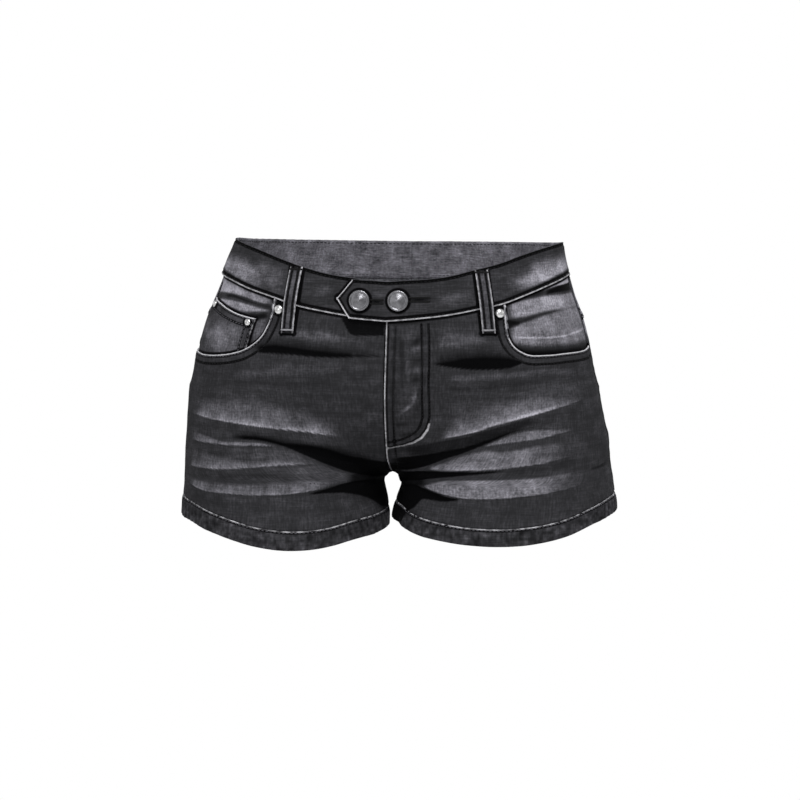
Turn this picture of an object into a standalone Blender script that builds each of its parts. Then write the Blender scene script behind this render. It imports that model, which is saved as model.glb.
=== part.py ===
"""Low-rise denim shorts, held open as they are worn.

Tables and offsets are millimetres; meshes are written in metres. +Z is up, the front faces -Y
and +X is the wearer's left. Every piece of cloth is a slab laid on one hollow form, placed by
"u" (0 at the centre front or inseam, 1 at the side seam, 2 at the centre back or inseam) and by
its height z, then moved out along the form's outward direction.
"""

import math
from collections import namedtuple

import bmesh
import bpy
import numpy as np
from mathutils import Vector

MM = 0.001
FRONT, BACK = -1, 1
SIDES = {"right": -1, "left": 1}

# ---- the hollow form: half widths and depths at each height --------------------------------
Section = namedtuple("Section", "z seam_x right left front back")
SECTIONS = (
    Section(40, 0.0, 139.0, 139.5, 90.0, 97),
    Section(20, 0.0, 145.5, 143.5, 93.0, 101),
    Section(5, 0.0, 152.0, 146.0, 95.5, 105),
    Section(-25, -1.0, 162.0, 155.0, 98.5, 113),
    Section(-52, -1.5, 173.0, 165.0, 100.0, 120),
    Section(-81, -2.5, 179.5, 172.0, 99.0, 126),
    Section(-110, -4.0, 179.0, 175.0, 96.0, 130),
    Section(-139, -5.0, 180.0, 181.0, 91.0, 130),
    Section(-167, -6.0, 182.0, 187.5, 86.0, 124),
    Section(-196, -7.0, 186.5, 196.5, 84.0, 115),
    Section(-212, -8.0, 187.5, 201.5, 84.0, 111),
    Section(-225, -9.0, 187.5, 203.0, 84.0, 108),
    Section(-255, -10.0, 188.0, 204.0, 84.0, 104),
)
Leg = namedtuple("Leg", "z gap front back")
LEGS = (
    Leg(-100, 16.0, 66, 76),
    Leg(-125, 14.5, 79, 92),
    Leg(-150, 13.0, 88, 102),
    Leg(-170, 12.0, 93, 106),
    Leg(-190, 10.8, 96, 107),
    Leg(-205, 7.6, 98, 106),
    Leg(-215, 4.6, 99, 105),
    Leg(-224, 2.9, 101, 104),
    Leg(-236, 2.5, 102, 103),
    Leg(-260, 2.5, 103, 101),
)
CROTCH_Z = -187.6
CROTCH_BOW_FRONT, CROTCH_BOW_BACK = 75.0, 112.0
TRUNK_SQUARE = 2.35
LEG_SQUARE = 2.12
RISE_BLEND = 42.0
LEG_BLEND_INNER, LEG_BLEND_OUTER, LEG_BLEND_REACH = 17.0, 24.0, 120.0
LEG_TOP, LEG_FADE = -110.0, 0.6
FORM_REACH, TINY = 240.0, 1e-6
STRAIGHTEN = 3.0

# ---- seam lines, as heights along u ---------------------------------------------------------
Waist = namedtuple("Waist", "u top_right top_left seam_right seam_left")
WAIST = (
    Waist(0.00, -11.5, -11.5, -46.0, -46.0),
    Waist(0.17, -5.0, -7.0, -38.0, -40.5),
    Waist(0.26, 0.0, -2.0, -34.0, -36.5),
    Waist(0.37, 6.5, 3.0, -27.5, -32.0),
    Waist(0.50, 13.0, 10.0, -21.5, -24.5),
    Waist(0.67, 18.5, 16.0, -14.5, -16.5),
    Waist(0.84, 21.0, 18.5, -11.0, -12.0),
    Waist(1.00, 21.0, 18.5, -10.5, -11.0),
    Waist(1.33, 18.0, 16.0, -15.5, -17.0),
    Waist(1.66, 15.5, 14.5, -19.5, -20.0),
    Waist(2.00, 14.0, 14.0, -21.0, -21.0),
)
Edge = namedtuple("Edge", "u right left")
HEM = (
    Edge(0.00, -238.0, -228.0),
    Edge(0.15, -239.0, -228.5),
    Edge(0.26, -241.0, -234.0),
    Edge(0.34, -245.0, -237.0),
    Edge(0.44, -246.5, -239.5),
    Edge(0.54, -243.0, -239.5),
    Edge(0.61, -238.0, -237.5),
    Edge(0.70, -232.0, -232.5),
    Edge(0.76, -228.0, -227.5),
    Edge(0.87, -225.5, -221.5),
    Edge(1.00, -225.0, -220.0),
    Edge(1.30, -229.0, -226.0),
    Edge(1.60, -237.0, -235.0),
    Edge(1.85, -240.0, -234.0),
    Edge(2.00, -238.0, -228.0),
)
HEM_HEIGHT = 18.0
YOKE = (
    Edge(1.00, -48.0, -48.5),
    Edge(1.40, -57.0, -57.5),
    Edge(1.75, -74.0, -74.5),
    Edge(2.00, -90.0, -90.0),
)
Spot = namedtuple("Spot", "u z")
MOUTH = {
    "right": (
        Spot(0.370, -27.5),
        Spot(0.369, -41.0),
        Spot(0.383, -52.0),
        Spot(0.402, -60.0),
        Spot(0.441, -67.5),
        Spot(0.490, -73.0),
        Spot(0.554, -76.5),
        Spot(0.644, -79.0),
        Spot(0.745, -80.0),
        Spot(0.881, -79.0),
        Spot(1.000, -78.0),
    ),
    "left": (
        Spot(0.387, -31.0),
        Spot(0.381, -47.0),
        Spot(0.387, -59.0),
        Spot(0.413, -68.0),
        Spot(0.461, -74.0),
        Spot(0.569, -76.0),
        Spot(0.677, -75.5),
        Spot(0.860, -75.0),
        Spot(1.000, -73.0),
    ),
}
U_LENGTH = 215.0

# ---- folds in the worn cloth: soft ridges (+) and troughs (-) --------------------------------
Fold = namedtuple("Fold", "x0 z0 x1 z1 bow height above below")
FRONT_FOLDS = (
    Fold(-118, -78, -20, -76, 0, -1.2, 7, 7),
    Fold(-190, -134, -58, -146, 1, 2.6, 9, 8),
    Fold(-190, -157, -96, -156, -2, 1.6, 8, 8),
    Fold(-140, -151, -10, -184, 4, -4.6, 9, 8),
    Fold(-184, -179, -50, -175, -2, 3.2, 8, 8),
    Fold(-188, -197, -48, -195, -2, 2.2, 8, 8),
    Fold(-90, -191, -12, -208, -3, -3.0, 7, 8),
    Fold(40, -81, 98, -81, -7, -2.0, 9, 7),
    Fold(88, -117, 172, -103, 2, 1.2, 8, 8),
    Fold(46, -152, 178, -117, 2, 4.0, 9, 8),
    Fold(130, -139, 16, -174, -2, -4.2, 8, 8),
    Fold(28, -175, 174, -158, 5, 3.0, 8, 8),
    Fold(16, -186, 194, -175, -2, -2.4, 7, 7),
    Fold(20, -193, 182, -181, 3, 3.2, 8, 9),
    Fold(18, -192, 70, -205, -2, -2.0, 7, 7),
)
BACK_FOLDS = (
    Fold(-190, -150, -140, -160, -2, 2.0, 10, 8),
    Fold(-128, -204, -14, -190, -5, -3.8, 9, 9),
    Fold(-188, -190, -60, -212, -2, 2.2, 9, 9),
    Fold(-26, -122, -10, -166, 3, -1.8, 9, 9),
    Fold(-44, -44, 30, -46, -4, -1.2, 8, 8),
    Fold(144, -166, 196, -150, -2, 2.2, 9, 9),
    Fold(14, -188, 136, -202, -6, -3.6, 9, 9),
    Fold(70, -212, 198, -192, -3, 2.0, 9, 9),
    Fold(10, -160, 27, -112, 3, -1.6, 9, 9),
)
FOLD_BLEND = 36.0
STIFF_HALF, STIFF_TOP, STIFF_BOTTOM, STIFF_SOFT = 70.0, -88.0, -198.0, 14.0
Wrinkle = namedtuple("Wrinkle", "u height width")
HEM_WRINKLES = {
    "right": (
        Wrinkle(0.16, 1.2, 0.030),
        Wrinkle(0.33, -1.1, 0.026),
        Wrinkle(0.47, 1.3, 0.034),
        Wrinkle(0.66, -1.0, 0.030),
        Wrinkle(0.83, 1.1, 0.028),
        Wrinkle(1.24, -1.2, 0.040),
        Wrinkle(1.47, 1.4, 0.036),
        Wrinkle(1.72, -1.1, 0.034),
    ),
    "left": (
        Wrinkle(0.14, -1.0, 0.026),
        Wrinkle(0.29, 1.3, 0.034),
        Wrinkle(0.44, -1.1, 0.026),
        Wrinkle(0.58, 1.2, 0.030),
        Wrinkle(0.79, -1.2, 0.034),
        Wrinkle(1.18, 1.2, 0.036),
        Wrinkle(1.40, -1.1, 0.030),
        Wrinkle(1.66, 1.3, 0.040),
    ),
}
HEM_WRINKLE_REACH = 26.0

# ---- how far out each layer of cloth lies: inner and outer face ------------------------------
SEAM_GAP = 0.3
U_GAP = 0.0008
PANEL = (0.0, 1.2)
WAISTBAND = (-0.4, 2.0)
HEM_BAND = (-0.9, 1.7)
FACING = {"right": (-3.1, -1.9), "left": (-1.6, -0.4)}
COIN = (-1.6, -0.5)
PATCH = (1.6, 2.8)
PATCH_DROOP = 0.6
SHIELD = (-1.8, -0.6)
ZIP = (-3.2, -2.1)

# ---- the waistband's pointed end, over the other half ----------------------------------------
TAB_LENGTH, TAB_SHOULDER, TAB_TIP_DROP = 41.0, 29.5, 17.5
TAB_NARROWEST, TAB_LIFT, BAND_MIDDLE = 0.92, 2.7, -20.0
TAB_RAMP_START, TAB_RAMP_END, UNDERLAP = 20.0, 36.0, 16.0
TAB_POINT_SPANS, TAB_SPANS, LEFT_BAND_SPANS, RIGHT_BAND_SPANS = 2, 11, 43, 35

LOOP_WIDTH, LOOP_THICKNESS, LOOP_ARCH = 11.0, 1.5, 3.0
LOOP_BELOW_TOP, LOOP_STEP = 1.0, 6.0
Loop = namedtuple("Loop", "name facing top_x bottom_x drop")
LOOPS = (
    Loop("belt_loop_front_right", FRONT, -79.5, -88.0, 57.0),
    Loop("belt_loop_front_left", FRONT, 78.5, 86.0, 54.0),
    Loop("belt_loop_back_right", BACK, -92.0, -95.0, 54.0),
    Loop("belt_loop_back_left", BACK, 92.0, 95.0, 54.0),
    Loop("belt_loop_centre_back", BACK, 0.0, 0.0, 54.0),
)

POCKET_CENTRE, POCKET_TOP, POCKET_TILT = 92.0, -98.0, 6.0
POCKET_FIRST_COLUMN, POCKET_COLUMNS = 7, 10
POCKET_SIDE, POCKET_POINT = 68.0, 87.0
COIN_CORNERS = {"outer": 0.890, "inner_top": 0.452, "inner_bottom": 0.486}
COIN_TOP = (
    Spot(0.45, -45.5),
    Spot(0.55, -42.5),
    Spot(0.64, -38.5),
    Spot(0.74, -34.0),
    Spot(0.89, -30.5),
)
COIN_BOTTOM = (
    Spot(0.45, -79.0),
    Spot(0.55, -84.0),
    Spot(0.64, -87.0),
    Spot(0.74, -88.0),
    Spot(0.89, -87.0),
)
FACING_INNER, FACING_UNDER, FACING_DROP = 0.345, 1.03, 9.0
SHIELD_BOX = (-6.0, 27.0, -47.0, -152.0)
ZIP_BOX = (-5.0, 13.0, -51.0, -146.0)

BUTTONS = (("button_1", -24.0, -28.0), ("button_2", 9.0, -28.0))
BUTTON_PROFILE = (
    (0.0, 0.0),
    (4.6, 0.0),
    (4.6, 0.9),
    (8.3, 0.9),
    (9.0, 1.4),
    (9.0, 2.0),
    (8.4, 2.5),
    (7.4, 2.5),
    (6.8, 2.1),
    (4.6, 2.6),
    (2.3, 2.9),
    (0.0, 3.0),
)
RIVET_PROFILE = (
    (0.0, 0.0),
    (4.0, 0.0),
    (4.0, 0.5),
    (3.4, 0.9),
    (2.6, 0.9),
    (2.0, 1.5),
    (1.1, 1.9),
    (0.0, 2.0),
)
Rivet = namedtuple("Rivet", "name x z scale seat")
RIVETS = (
    Rivet("rivet_pocket_right", -96.0, -37.0, 1.0, PANEL),
    Rivet("rivet_pocket_left", 95.0, -39.0, 1.0, PANEL),
    Rivet("rivet_coin_inner", -126.0, -49.0, 0.75, COIN),
    Rivet("rivet_coin_outer", -162.0, -36.0, 0.75, COIN),
)

FRONT_SEAM_SPANS, FRONT_MOUTH_SPANS, FRONT_ROWS = 6, 11, 27
BACK_COLUMNS, BACK_ROWS = 20, 19


# ---- smooth lines through tables -------------------------------------------------------------
def smooth(xs, ys, x):
    """Values at x of a soft curve through the points (xs, ys), held level past its ends."""
    xs = np.asarray(xs, float)
    ys = np.asarray(ys, float)
    if xs[0] > xs[-1]:
        xs = xs[::-1]
        ys = ys[::-1]
    step = np.diff(xs)
    rise = np.diff(ys) / step
    slope = np.empty_like(ys)
    slope[1:-1] = (rise[1:] * step[:-1] + rise[:-1] * step[1:]) / (step[1:] + step[:-1])
    slope[0] = rise[0]
    slope[-1] = rise[-1]
    x = np.clip(x, xs[0], xs[-1])
    k = np.clip(np.searchsorted(xs, x) - 1, 0, len(step) - 1)
    t = (x - xs[k]) / step[k]
    start = (1 + 2 * t) * (1 - t) ** 2 * ys[k] + t * (1 - t) ** 2 * step[k] * slope[k]
    end = t * t * (3 - 2 * t) * ys[k + 1] + t * t * (t - 1) * step[k] * slope[k + 1]
    return start + end


def read(table, name, at):
    """One named column of a table, read at values of its first column."""
    return smooth([row[0] for row in table], [getattr(row, name) for row in table], at)


def ease(t):
    t = np.clip(t, 0.0, 1.0)
    return t * t * (3 - 2 * t)


# ---- the form ---------------------------------------------------------------------------------
def soft_min(a, b, reach):
    near = np.clip(reach - np.abs(a - b), 0, None)
    return np.minimum(a, b) - near * near / (4 * reach)


def oval(x, y, half_width, front, back, square):
    """About how far a point lies outside a rounded oval with its own front and back depth."""
    depth = np.where(y < 0, front, back)
    x = np.abs(x) + TINY
    size = ((x / half_width) ** square + np.abs(y / depth) ** square) ** (1 / square)
    return np.hypot(x, y) * (1 - 1 / size)


def half_name(side):
    return "left" if side > 0 else "right"


def section(name, z):
    return read(SECTIONS, name, z)


def leg_centre(side, z):
    return (section(half_name(side), z) + read(LEGS, "gap", z)) / 2


def form(side, x, y, z):
    """Negative inside one half of the form; x runs outward from the centre seam."""
    half = section(half_name(side), z)
    trunk = oval(x, y, half, section("front", z), section("back", z), TRUNK_SQUARE)
    bow = np.where(y < 0, CROTCH_BOW_FRONT, CROTCH_BOW_BACK)
    rise = CROTCH_Z + y * y / (2 * bow) - z
    trunk = -soft_min(-trunk, -rise, RISE_BLEND)
    gap = read(LEGS, "gap", z)
    front = read(LEGS, "front", z)
    back = read(LEGS, "back", z)
    leg = oval(x - (half + gap) / 2, y, (half - gap) / 2, front, back, LEG_SQUARE)
    leg = leg + LEG_FADE * np.clip(z - LEG_TOP, 0, None)
    blend = LEG_BLEND_INNER + (LEG_BLEND_OUTER - LEG_BLEND_INNER) * ease(x / LEG_BLEND_REACH)
    return soft_min(trunk, leg, blend)


def edge_of(inside, near, far):
    """Where a test turns from inside to outside between two arrays of distances."""
    near = np.array(near, float)
    far = np.array(far, float)
    for _ in range(34):
        middle = (near + far) / 2
        held = inside(middle)
        near = np.where(held, middle, near)
        far = np.where(held, far, middle)
    return (near + far) / 2


def face_depth(side, away, z, facing):
    """How far forward or back the form lies at a distance from its centre seam."""
    none = np.zeros_like(z)
    return edge_of(lambda d: form(side, away, facing * d, z) < 0, none, none + FORM_REACH)


def start_angle(side, z, facing):
    """Angle from the side seam round to the centre seam, half a turn below the crotch."""
    none = np.zeros_like(z)
    angle = np.arctan2(face_depth(side, none, z, facing), -leg_centre(side, z))
    return np.where(form(side, none, none, z) < 0, angle, math.pi)


def skin(side, u, z):
    """Points of the form at u and z: x outward from the centre seam, y and z."""
    u, z = np.broadcast_arrays(np.asarray(u, float), np.asarray(z, float))
    share = np.abs(1 - u)
    front = start_angle(side, z, FRONT)
    back = start_angle(side, z, BACK)
    angle = np.where(u < 1, front, back) * share
    facing = np.where(u < 1, FRONT, BACK)
    centre = leg_centre(side, z)
    along = np.cos(angle)
    across = np.sin(angle) * facing
    none = np.zeros_like(z)
    reach = edge_of(
        lambda r: form(side, centre + r * along, r * across, z) < 0, none, none + FORM_REACH
    )
    return np.stack([np.maximum(centre + reach * along, 0), reach * across, z], -1)


def share_at(side, away, z, facing):
    """The u that lies straight on at a distance from the centre seam."""
    away, z = np.broadcast_arrays(np.asarray(away, float), np.asarray(z, float))
    depth = face_depth(side, away, z, facing)
    angle = np.arctan2(depth, away - leg_centre(side, z))
    return 1 + facing * angle / start_angle(side, z, facing)


def outward(side, points):
    """Unit directions that lead out of the form, flat across at the centre seam."""
    x, y, z = points[..., 0], points[..., 1], points[..., 2]
    d = 0.6
    lean = np.stack(
        [
            form(side, x + d, y, z) - form(side, x - d, y, z),
            form(side, x, y + d, z) - form(side, x, y - d, z),
            form(side, x, y, z + d) - form(side, x, y, z - d),
        ],
        -1,
    )
    lean[..., 0] *= np.clip(x / STRAIGHTEN, 0, 1)
    return lean / np.linalg.norm(lean, axis=-1, keepdims=True)


def to_world(side, points):
    moved = np.array(points, float)
    moved[..., 0] = side * points[..., 0] + section("seam_x", points[..., 2])
    return moved


# ---- folds ------------------------------------------------------------------------------------
def fold(points, x0, z0, x1, z1, bow, height, above, below):
    """Height of one fold: a bowed line with its own softness on each side."""
    along_x = x1 - x0
    along_z = z1 - z0
    length = math.hypot(along_x, along_z)
    dx = points[..., 0] - x0
    dz = points[..., 2] - z0
    share = (dx * along_x + dz * along_z) / length**2
    inside = np.clip(share, 0, 1)
    turn = math.copysign(1, along_x)
    across = turn * (along_x * dz - along_z * dx) / length - 4 * bow * inside * (1 - inside)
    width = np.where(across > 0, above, below)
    past = np.abs(share - inside) * length
    taper = np.sin(math.pi * inside) ** 0.6
    return height * taper * np.exp(-((across / width) ** 2) - (past / width) ** 2)


def stiff(points):
    """1 where a back pocket keeps the cloth flat, falling softly to 0 around it."""
    x = points[..., 0] - section("seam_x", points[..., 2])
    z = points[..., 2]
    beside = ease((np.abs(np.abs(x) - POCKET_CENTRE) - STIFF_HALF) / STIFF_SOFT)
    above = ease((z - STIFF_TOP) / STIFF_SOFT)
    below = ease((STIFF_BOTTOM - z) / STIFF_SOFT)
    return (1 - beside) * (1 - above) * (1 - below)


def folds(points):
    """Height of all folds at points of the form, front and back tables blended at the sides."""
    front = ease(0.5 - points[..., 1] / FOLD_BLEND)
    at_front = sum(fold(points, *row) for row in FRONT_FOLDS)
    at_back = sum(fold(points, *row) for row in BACK_FOLDS) * (1 - stiff(points))
    return front * at_front + (1 - front) * at_back


def hem_wrinkles(side, u, z):
    name = half_name(side)
    rows = HEM_WRINKLES[name]
    total = sum(height * np.exp(-(((u - at) / width) ** 2)) for at, height, width in rows)
    above_hem = z - read(HEM, name, u)
    return total * (1 - ease(above_hem / HEM_WRINKLE_REACH))


def cloth(side, u, z, out):
    """World points on the worn cloth at u and z, moved out by out."""
    u, z = np.broadcast_arrays(np.asarray(u, float), np.asarray(z, float))
    points = skin(side, u, z)
    lead = outward(side, points)
    world = to_world(side, points)
    lead[..., 0] *= side
    height = folds(world) + hem_wrinkles(side, u, z) + out
    return world + lead * height[..., None]


def on_face(x, z, facing, out):
    """World points seen straight on at x and z from the front or the back, moved out."""
    x, z, out = np.broadcast_arrays(*(np.asarray(v, float) for v in (x, z, out)))
    offset = x - section("seam_x", z)
    result = np.empty(x.shape + (3,))
    lead = np.empty(x.shape + (3,))
    for side in SIDES.values():
        mine = (offset * side) >= 0
        if not mine.any():
            continue
        away = np.abs(offset[mine])
        height = z[mine]
        depth = face_depth(side, away, height, facing)
        points = np.stack([away, facing * depth, height], -1)
        direction = outward(side, points)
        direction[..., 0] *= side
        result[mine] = to_world(side, points)
        lead[mine] = direction
    height = folds(result) + out
    return result + lead * height[..., None], lead


# ---- seam lines -------------------------------------------------------------------------------
def waist_top(side, u):
    return read(WAIST, "top_" + half_name(side), u)


def waist_seam(side, u):
    return read(WAIST, "seam_" + half_name(side), u)


def hem_edge(side, u):
    return read(HEM, half_name(side), u)


def hem_seam(side, u):
    return hem_edge(side, u) + HEM_HEIGHT


def yoke_seam(side, u):
    return read(YOKE, half_name(side), u)


def mouth_line(side, share):
    """u and z along the pocket mouth, from the waist seam to the side seam."""
    table = np.array(MOUTH[half_name(side)])
    step = np.hypot(np.diff(table[:, 0]) * U_LENGTH, np.diff(table[:, 1]))
    run = np.concatenate([[0], np.cumsum(step)]) / step.sum()
    return smooth(run, table[:, 0], share), smooth(run, table[:, 1], share)


def fan_share(side, share, end_u, top, bottom):
    """Row heights along a centre seam and inseam, spaced by length, as shares of the height."""
    turn = np.linspace(0, 1, 240) ** 2
    above = CROTCH_Z - 0.6 + (top - CROTCH_Z + 0.6) * turn[::-1]
    below = CROTCH_Z - 0.6 + (bottom - CROTCH_Z + 0.6) * turn[1:]
    heights = np.concatenate([above, below])
    line = skin(side, np.full_like(heights, end_u), heights)
    step = np.linalg.norm(np.diff(line, axis=0), axis=1)
    run = np.concatenate([[0], np.cumsum(step)]) / step.sum()
    return (np.interp(share, run, heights) - top) / (bottom - top)


# ---- slabs ------------------------------------------------------------------------------------
def clear_scene():
    for thing in list(bpy.data.objects):
        bpy.data.objects.remove(thing, do_unlink=True)


def make_material(name, colour, roughness, metallic):
    material = bpy.data.materials.new(name)
    material.use_nodes = True
    surface = material.node_tree.nodes["Principled BSDF"]
    surface.inputs["Base Color"].default_value = (*colour, 1)
    surface.inputs["Roughness"].default_value = roughness
    surface.inputs["Metallic"].default_value = metallic
    return material


def denim(name):
    return make_material(name, (0.040, 0.040, 0.044), 0.9, 0.0)


def steel(name):
    return make_material(name, (0.45, 0.45, 0.46), 0.35, 1.0)


def add_object(name, mesh, material):
    bmesh.ops.recalc_face_normals(mesh, faces=mesh.faces[:])
    if mesh.calc_volume(signed=True) < 0:
        bmesh.ops.reverse_faces(mesh, faces=mesh.faces[:])
    data = bpy.data.meshes.new(name)
    mesh.to_mesh(data)
    mesh.free()
    data.materials.append(material)
    data.shade_smooth()
    data.set_sharp_from_angle(angle=math.radians(40))
    thing = bpy.data.objects.new(name, data)
    bpy.context.scene.collection.objects.link(thing)
    return thing


def slab(name, columns, rows, place):
    """A closed sheet of cloth. place takes arrays: share across, share down, 0 inner or 1 outer."""
    mesh = bmesh.new()
    bmesh.ops.create_grid(mesh, x_segments=columns, y_segments=rows, size=0.5)
    raised = bmesh.ops.extrude_face_region(mesh, geom=mesh.faces[:], use_keep_orig=True)
    upper = [item for item in raised["geom"] if isinstance(item, bmesh.types.BMVert)]
    bmesh.ops.translate(mesh, verts=upper, vec=(0, 0, 1))
    shares = np.array([vert.co[:] for vert in mesh.verts])
    points = place(shares[:, 0] + 0.5, 0.5 - shares[:, 1], shares[:, 2]) * MM
    for vert, point in zip(mesh.verts, points):
        vert.co = point
    return add_object(name, mesh, denim(name))


def layer(faces, which):
    return faces[0] + (faces[1] - faces[0]) * which


# ---- panels -----------------------------------------------------------------------------------
def front_top(side, across):
    """The front panel's upper edge: waist seam, then pocket mouth."""
    corner = FRONT_SEAM_SPANS / (FRONT_SEAM_SPANS + FRONT_MOUTH_SPANS)
    start_u = MOUTH[half_name(side)][0][0]
    seam_u = U_GAP + (start_u - U_GAP) * np.clip(across / corner, 0, 1)
    mouth_u, mouth_z = mouth_line(side, np.clip((across - corner) / (1 - corner), 0, 1))
    on_seam = across <= corner
    u = np.where(on_seam, seam_u, np.minimum(mouth_u, 1 - U_GAP))
    z = np.where(on_seam, waist_seam(side, seam_u), np.minimum(mouth_z, waist_seam(side, mouth_u)))
    return u, z - SEAM_GAP / 2


def front_place(side):
    """Placement of the front panel's points by share across and share down."""
    inner_top = waist_seam(side, 0.0) - SEAM_GAP / 2
    inner_bottom = hem_seam(side, 0.0) + SEAM_GAP / 2

    def place(across, down, which):
        top_u, top_z = front_top(side, across)
        bottom_u = U_GAP + (1 - 2 * U_GAP) * across
        bottom_z = hem_seam(side, bottom_u) + SEAM_GAP / 2
        fan = fan_share(side, down, 0.0, inner_top, inner_bottom)
        drop = fan + (down - fan) * ease(across / 0.5)
        u = top_u + (bottom_u - top_u) * down
        return cloth(side, u, top_z + (bottom_z - top_z) * drop, layer(PANEL, which))

    return place


def back_place(side):
    inner_top = yoke_seam(side, 2.0) - SEAM_GAP / 2
    inner_bottom = hem_seam(side, 2.0) + SEAM_GAP / 2

    def place(across, down, which):
        u = 1 + U_GAP + (1 - 2 * U_GAP) * across
        top_z = yoke_seam(side, u) - SEAM_GAP / 2
        bottom_z = hem_seam(side, u) + SEAM_GAP / 2
        fan = fan_share(side, down, 2.0, inner_top, inner_bottom)
        drop = down + (fan - down) * ease((across - 0.5) / 0.5)
        return cloth(side, u, top_z + (bottom_z - top_z) * drop, layer(PANEL, which))

    return place


def strip_place(side, top, bottom, first_u, last_u, faces):
    """Placement of a band between two seam lines."""

    def place(across, down, which):
        u = first_u + (last_u - first_u) * across
        top_z = top(side, u)
        bottom_z = bottom(side, u)
        return cloth(side, u, top_z + (bottom_z - top_z) * down, layer(faces, which))

    return place


def hem_place(side, front_columns):
    """Placement of a hem all round a leg, on the columns of the panels above it."""
    columns = front_columns + BACK_COLUMNS

    def place(across, down, which):
        column = across * columns
        front_u = U_GAP + (1 - U_GAP) * column / front_columns
        back_u = 1 + (1 - U_GAP) * (column - front_columns) / BACK_COLUMNS
        u = np.where(column <= front_columns, front_u, back_u)
        z = hem_seam(side, u) - HEM_HEIGHT * down
        return cloth(side, u, z, layer(HEM_BAND, which))

    return place


def build_panels():
    columns = FRONT_SEAM_SPANS + FRONT_MOUTH_SPANS
    for name, side in SIDES.items():
        slab("front_" + name, columns, FRONT_ROWS, front_place(side))
        slab("back_" + name, BACK_COLUMNS, BACK_ROWS, back_place(side))
        yoke = strip_place(
            side,
            lambda s, u: waist_seam(s, u) - SEAM_GAP / 2,
            lambda s, u: yoke_seam(s, u) + SEAM_GAP / 2,
            1 + U_GAP,
            2 - U_GAP,
            PANEL,
        )
        slab("yoke_" + name, BACK_COLUMNS, 4, yoke)
        slab("hem_" + name, columns + BACK_COLUMNS, 2, hem_place(side, columns))


# ---- waistband --------------------------------------------------------------------------------
def band_top(side, u):
    return waist_top(side, u)


def band_bottom(side, u):
    return waist_seam(side, u) + SEAM_GAP / 2


def across_centre(side, v, z, out):
    """Cloth points by u, where a value below 0 lies past the centre front on the other half."""
    points = cloth(side, np.maximum(v, 0), z, out)
    past = v < 0
    points[past] = cloth(-side, -v[past], z[past], out[past])
    return points


def under_place(across, down, which):
    """The right half of the band, which runs on under the left half's end."""
    side = SIDES["right"]
    start = -share_at(-side, UNDERLAP, BAND_MIDDLE, FRONT)
    v = start + (2 - U_GAP - start) * across
    top_z = band_top(side, np.abs(v))
    bottom_z = band_bottom(side, np.abs(v))
    return across_centre(side, v, top_z + (bottom_z - top_z) * down, layer(WAISTBAND, which))


def over_place(across, down, which):
    """The left half of the band with its pointed end, laid over the right half."""
    side = SIDES["left"]
    spans = (0, TAB_POINT_SPANS, TAB_SPANS)
    column = across * LEFT_BAND_SPANS
    x = np.interp(column, spans, (-TAB_LENGTH, -TAB_SHOULDER, TAB_RAMP_END))
    near = np.sign(x) * share_at(side, np.abs(x), BAND_MIDDLE, FRONT)
    rest = np.clip((column - TAB_SPANS) / (LEFT_BAND_SPANS - TAB_SPANS), 0, 1)
    v = near + (2 - U_GAP - near) * rest
    top_z = band_top(side, np.abs(v))
    bottom_z = band_bottom(side, np.abs(v))
    tip_z = top_z - TAB_TIP_DROP
    narrow = np.clip((-TAB_SHOULDER - x) / (TAB_LENGTH - TAB_SHOULDER), 0, TAB_NARROWEST)
    top_z = top_z + (tip_z - top_z) * narrow
    bottom_z = bottom_z + (tip_z - bottom_z) * narrow
    lift = TAB_LIFT * ease((TAB_RAMP_END - x) / (TAB_RAMP_END - TAB_RAMP_START))
    out = layer(WAISTBAND, which) + lift
    return across_centre(side, v, top_z + (bottom_z - top_z) * down, out)


def build_waistband():
    slab("waistband_right", RIGHT_BAND_SPANS, 4, under_place)
    slab("waistband_left", LEFT_BAND_SPANS, 4, over_place)


# ---- pockets, fly -----------------------------------------------------------------------------
def build_pockets():
    for name, side in SIDES.items():
        lowest = MOUTH[name][-1][1] - FACING_DROP
        facing = strip_place(
            side,
            lambda s, u: waist_seam(s, u) - SEAM_GAP / 2,
            lambda s, u, z=lowest: np.full_like(u, z),
            FACING_INNER,
            FACING_UNDER,
            FACING[name],
        )
        slab("pocket_facing_" + name, 12, 7, facing)
        slab("back_pocket_" + name, POCKET_COLUMNS, 10, patch_place(side))
    slab("coin_pocket", 8, 5, coin_place)


def coin_place(across, down, which):
    inner = COIN_CORNERS["inner_top"]
    inner = inner + (COIN_CORNERS["inner_bottom"] - inner) * down
    u = inner + (COIN_CORNERS["outer"] - inner) * across
    top_z = read(COIN_TOP, "z", u)
    bottom_z = read(COIN_BOTTOM, "z", u)
    return cloth(-1, u, top_z + (bottom_z - top_z) * down, layer(COIN, which))


def patch_place(side):
    """Placement of a five-sided patch pocket, on the back panel's own columns."""

    def place(across, down, which):
        column = POCKET_FIRST_COLUMN + POCKET_COLUMNS * across
        u = 1 + U_GAP + (1 - 2 * U_GAP) * column / BACK_COLUMNS
        sideways = 2 * across - 1
        height = POCKET_SIDE + (POCKET_POINT - POCKET_SIDE) * (1 - np.abs(sideways))
        z = POCKET_TOP - POCKET_TILT * sideways - height * down
        return cloth(side, u, z, layer(PATCH, which) + PATCH_DROOP * down)

    return place


def box_place(box, faces):
    left, right, top, bottom = box

    def place(across, down, which):
        x = left + (right - left) * across
        z = top + (bottom - top) * down
        points, _ = on_face(x + section("seam_x", z), z, FRONT, layer(faces, which))
        return points

    return place


def build_fly():
    slab("fly_shield", 5, 12, box_place(SHIELD_BOX, SHIELD))
    slab("fly_zip", 3, 11, box_place(ZIP_BOX, ZIP))


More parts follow.
